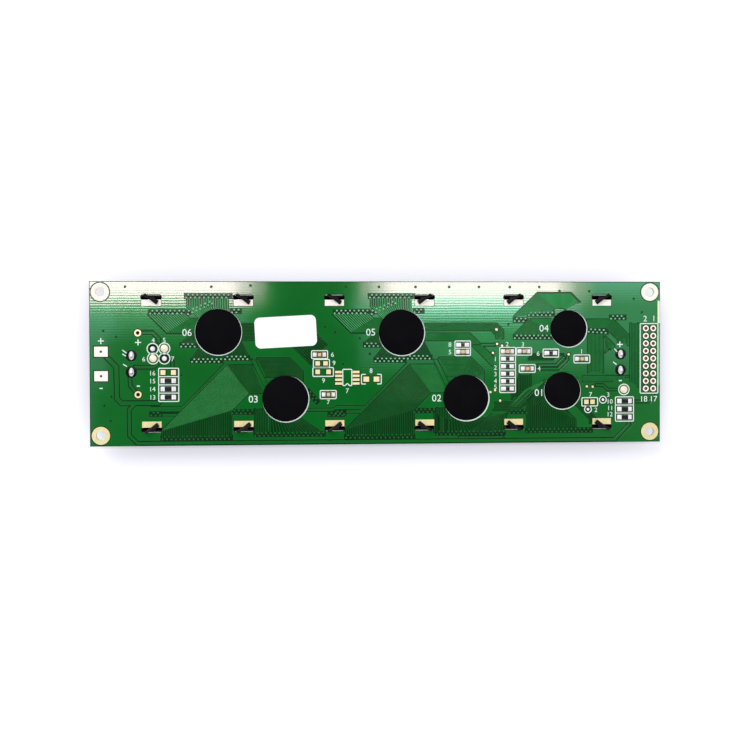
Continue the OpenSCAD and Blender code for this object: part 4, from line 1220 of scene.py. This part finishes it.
def addBlock(shape, low, high, radius, finishIndex, segments=3):
    # a box with rounded edges, as its own closed shell
    made = bmesh.ops.create_cube(shape, size=1)["verts"]
    middle, size = (low + high) / 2, high - low
    for vert in made:
        vert.co = Vector((middle[i] + vert.co[i] * size[i]) * mm for i in range(3))
    edges = list({e for v in made for e in v.link_edges})
    result = bmesh.ops.bevel(
        shape, geom=edges, offset=radius * mm, segments=segments, affect="EDGES", profile=0.5)
    faces = {f for v in made if v.is_valid for f in v.link_faces} | set(result["faces"])
    for face in list(faces):
        for edge in face.edges:
            faces.update(edge.link_faces)
    for face in faces:
        face.material_index = finishIndex


def addChip(node, kind):
    low, high = [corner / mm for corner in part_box(node)]
    plan = chipPlan
    capLong = plan["capLong"][kind]
    shape = bmesh.new()
    # body, then the wrapped metal ends, then the glass over the element
    addBlock(shape, Vector((low.x + plan["endIn"], low.y + plan["sideIn"], low.z + plan["footIn"])),
             Vector((high.x - plan["endIn"], high.y - plan["sideIn"], high.z - plan["topIn"])),
             plan["round"] * plan["bodyRound"], 0, 2)
    for left in (low.x, high.x - capLong):
        addBlock(shape, Vector((left, low.y, low.z)), Vector((left + capLong, high.y, high.z)),
                 plan["round"], 1)
    if kind != "capacitor":
        endIn = capLong * plan["glazeFrom"]
        near = low.y + plan["sideIn"] + plan["glazeSideIn"]
        far = high.y - plan["sideIn"] - plan["glazeSideIn"]
        addBlock(shape, Vector((low.x + endIn, near, high.z - plan["glazeDeep"])),
                 Vector((high.x - endIn, far, high.z - plan["glazeTopIn"])), plan["glazeRound"], 2, 2)
    bmesh.ops.recalc_face_normals(shape, faces=shape.faces)
    body = "firedTitanate" if kind == "capacitor" else "sinteredAlumina"
    name = node.replace("resistor", "thick_film_resistor").replace("capacitor", "ceramic_capacitor")
    ends = "firedTermination" if kind == "capacitor" else "tinPlate"
    mesh = meshFrom(shape, name, [body, ends, "printedGlaze"])
    addPiece(name, mesh, [node])
    return low, high


chipBoxes = []
for node in sorted(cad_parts):
    if node.startswith(("resistor_", "capacitor_")):
        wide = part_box(node)[1].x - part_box(node)[0].x
        size = "large" if wide > chipPlan["largeFrom"] * mm else "small"
        kind = "capacitor" if node.startswith("capacitor") else size
        chipBoxes.append(addChip(node, kind))
print("chips made:", len(chipBoxes))


filletPlan = {
    # share of the chip's height, start inside its end, distance from the pad's edge, height at the foot
    "climb": 0.72, "inside": 0.06, "edge": 0.01, "foot": 0.015, "steps": (9, 11), "sunk": 0.01, "probe": 0.1,
    # hollow of the curve, how it narrows and rounds outwards, how it falls to its sides, and its low swell
    "bend": 2.2, "narrows": 0.22, "rounds": 0.1, "sideBend": 3.2, "belly": 0.10, "bellyEnd": 1.1,
}


def padAt(x, y):
    # the box of the pad that holds this place
    for loop in padOutlines:
        left, low, right, high = loopBox(loop)
        if left <= x <= right and low <= y <= high:
            return left, low, right, high
    raise ValueError("no pad at %.2f, %.2f" % (x, y))


def addFillet(shape, chipEnd, outward, low, high, pad):
    # solder that climbs a chip's end in a hollow curve and thins out to the pad's edge
    plan = filletPlan
    alongSteps, acrossSteps = plan["steps"]
    reach = pad[2] - plan["edge"] - chipEnd if outward > 0 else chipEnd - pad[0] - plan["edge"]
    middle, half = (low.y + high.y) / 2, (pad[3] - pad[1]) / 2 - plan["edge"]
    climb = (high.z - low.z) * plan["climb"]
    top, under = [], []
    for i in range(alongSteps + 1):
        t = i / alongSteps
        topRow, underRow = [], []
        for j in range(acrossSteps + 1):
            s = 2 * j / acrossSteps - 1
            out = (reach + plan["inside"]) * t * (1 - plan["rounds"] * s * s) - plan["inside"]
            x = chipEnd + outward * out
            width = half * (1 - plan["narrows"] * t ** 3)
            y = middle + s * width
            fall = max(1 - abs(s) ** plan["sideBend"], 0.0)
            hollow = climb * (1 - t) ** plan["bend"] * fall
            belly = plan["belly"] * math.sin(math.pi * min(t * plan["bellyEnd"], 1)) * fall
            z = plan["foot"] + hollow + belly
            topRow.append(shape.verts.new((x * mm, y * mm, (padTop + z) * mm)))
            underRow.append(shape.verts.new((x * mm, y * mm, (padTop - plan["sunk"]) * mm)))
        top.append(topRow)
        under.append(underRow)
    for i in range(alongSteps):
        for j in range(acrossSteps):
            shape.faces.new((top[i][j], top[i + 1][j], top[i + 1][j + 1], top[i][j + 1]))
            shape.faces.new((under[i][j], under[i][j + 1], under[i + 1][j + 1], under[i + 1][j]))
    rim = [(0, j) for j in range(acrossSteps)] + [(i, acrossSteps) for i in range(alongSteps)]
    rim += [(alongSteps, j) for j in range(acrossSteps, 0, -1)] + [(i, 0) for i in range(alongSteps, 0, -1)]
    for (i, j), (m, n) in zip(rim, rim[1:] + rim[:1]):
        shape.faces.new((top[i][j], top[m][n], under[m][n], under[i][j]))


shape = bmesh.new()
for low, high in chipBoxes:
    y = (low.y + high.y) / 2
    addFillet(shape, low.x, -1, low, high, padAt(low.x - filletPlan["probe"], y))
    addFillet(shape, high.x, 1, low, high, padAt(high.x + filletPlan["probe"], y))
bmesh.ops.recalc_face_normals(shape, faces=shape.faces)
addPiece("solder_fillets", meshFrom(shape, "solder_fillets", ["reflowedSolder"], smooth=True),
         ["chip_solder"])


dropPlan = {"around": 32, "sway": 0.05, "swayGrain": 1.3, "sunk": 0.005, "steps": 9, "flat": 0.9}


def addDrop(shape, x, y, foot, profile, seed, oval=1.0, sway=dropPlan["sway"]):
    # a closed drop turned from (reach, level) pairs, the last one on the middle line
    around = dropPlan["around"]
    circles = []
    for reach, level in profile[:-1]:
        ring = []
        for k in range(around):
            turn = 2 * math.pi * k / around
            side = Vector((math.cos(turn), math.sin(turn), 0))
            wander = noise.noise(side * dropPlan["swayGrain"] + Vector((seed, x, y))) * 0.5 + 0.5
            far = reach * (1 - sway * wander)
            ring.append(shape.verts.new(
                ((x + side.x * far) * mm, (y + side.y * far * oval) * mm, (foot + level) * mm)))
        circles.append(ring)
    closeCircles(shape, circles, shape.verts.new((x * mm, y * mm, (foot + profile[-1][1]) * mm)))


def domeProfile(radius, rise):
    # a flattened drop: steep at its rim and level at the middle
    turns = [math.pi / 2 * i / dropPlan["steps"] for i in range(dropPlan["steps"] + 1)]
    return [(radius * math.cos(turn), rise * math.sin(turn) ** dropPlan["flat"]) for turn in turns]


# place, reach and rise of each drop: wide pools under amber flux, and beads in a dark ring of it
pools = [(-70.8, 5.0, 1.3, 0.3), (-74.5, 1.7, 1.25, 0.3), (82.6, -9.3, 1.3, 0.28)]
beads = [(-74.6, 4.9, 0.85, 0.5), (-70.8, 1.7, 0.85, 0.5)]
testBeads = [(75.4, -12.7, 0.5, 0.2), (70.3, -15.9, 0.5, 0.2)]
for name, drops, finish, hides in (("jumper_pools", pools, "fluxedSolder", ()),
                                   ("jumper_beads", beads + testBeads, "reflowedSolder", ["solder_jumpers"])):
    shape = bmesh.new()
    for x, y, radius, rise in drops:
        addDrop(shape, x, y, padTop - dropPlan["sunk"], domeProfile(radius, rise), x)
    addPiece(name, meshFrom(shape, name, [finish], smooth=True), hides)

# the hollow cone of solder round each pin, with its rounded tip as reach and rise past the cone
jointPlan = {
    "foot": 0.9, "neck": 0.45, "rise": 0.7, "oval": 1.7, "steps": 10, "hollow": 1.1,
    "tip": ((0.3, 0.03), (0, 0.04)), "sunk": 0.02, "sway": 0.12, "seedSpan": 3,
}
profile = []
for i in range(jointPlan["steps"] + 1):
    t = i / jointPlan["steps"]
    flare = (jointPlan["foot"] - jointPlan["neck"]) * (1 - t) ** jointPlan["hollow"]
    profile.append((jointPlan["neck"] + flare, jointPlan["rise"] * t))
profile += [(reach, jointPlan["rise"] + up) for reach, up in jointPlan["tip"]]
for side in ("left", "right"):
    shape = bmesh.new()
    for pole in ("anode", "cathode"):
        low, high = [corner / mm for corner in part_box("%s_pin_%s" % (pole, side))]
        addDrop(shape, (low.x + high.x) / 2, (low.y + high.y) / 2, padTop - jointPlan["sunk"], profile,
                low.y / jointPlan["seedSpan"], jointPlan["oval"], jointPlan["sway"])
    addPiece("pin_joints_" + side, meshFrom(shape, "pin_joints_" + side, ["reflowedSolder"], smooth=True),
             ["pin_solder_" + side])

# the clipped end of each pin stays dark in its joint
pinEndPlan = {
    "outer": 0.4, "hole": 0.02, "thickness": 0.05, "slope": 0.05, "sides": 16, "finish": "darkenedPlating",
    "aside": (0.05, -0.35), "below": 0.05,
}
addRings("pin_ends", moved(pinSpots, *pinEndPlan["aside"]), padTop + jointPlan["rise"] - pinEndPlan["below"],
         pinEndPlan)
fluxPlan = {
    "outer": 1.75, "hole": 0.8, "thickness": 0.05, "slope": 0.3, "sides": 28, "finish": "rosinResidue",
    "aside": (-0.2, -0.15),
}
beadFluxPlan = dict(fluxPlan, outer=1.42, hole=0.75)
testFluxPlan = dict(fluxPlan, outer=0.95, hole=0.4, slope=0.15)
addRings("flux_round_pins", moved(pinSpots, *fluxPlan["aside"]), boardHigh.z, fluxPlan)
addRings("flux_round_beads", [bead[:2] for bead in beads], padTop, beadFluxPlan)
addRings("flux_round_test_beads", [bead[:2] for bead in testBeads], padTop, testFluxPlan)
print("solder made")


floorPlan = {"half": 4.0, "below": 0.02, "tones": ("#eeeef0", "#f2f2f4"), "cloudScale": 3.0, "lift": 0.17}


def makeFloorFinish(plan):
    # matt paper sweep; seen or mirrored it is lifted to white, and the object's shade stays on it
    material, tree, where = newMaterial("paperSweep")
    clouds = addNode(tree, "ShaderNodeTexNoise", {"Vector": where, "Scale": plan["cloudScale"]})
    matt = addNode(tree, "ShaderNodeBsdfDiffuse", {"Color": blend(tree, clouds.outputs[0], *plan["tones"])})
    rays = addNode(tree, "ShaderNodeLightPath")
    mirrored = compute(tree, "MAXIMUM", rays.outputs["Is Glossy Ray"], rays.outputs["Is Transmission Ray"])
    seen = compute(tree, "MAXIMUM", rays.outputs["Is Camera Ray"], mirrored)
    glow = addNode(tree, "ShaderNodeEmission", {
        "Color": (1, 1, 1, 1), "Strength": compute(tree, "MULTIPLY", seen, plan["lift"])})
    both = addNode(tree, "ShaderNodeAddShader", {0: matt.outputs[0], 1: glow.outputs[0]})
    addNode(tree, "ShaderNodeOutputMaterial", {"Surface": both.outputs[0]})
    return material


half, level = floorPlan["half"], -floorPlan["below"] * mm
floorMesh = bpy.data.meshes.new("floor")
floorMesh.from_pydata(
    [(-half, -half, level), (half, -half, level), (half, half, level), (-half, half, level)],
    [], [(0, 1, 2, 3)])
floorMesh.materials.append(makeFloorFinish(floorPlan))
floor = bpy.data.objects.new("floor", floorMesh)
scene.collection.objects.link(floor)
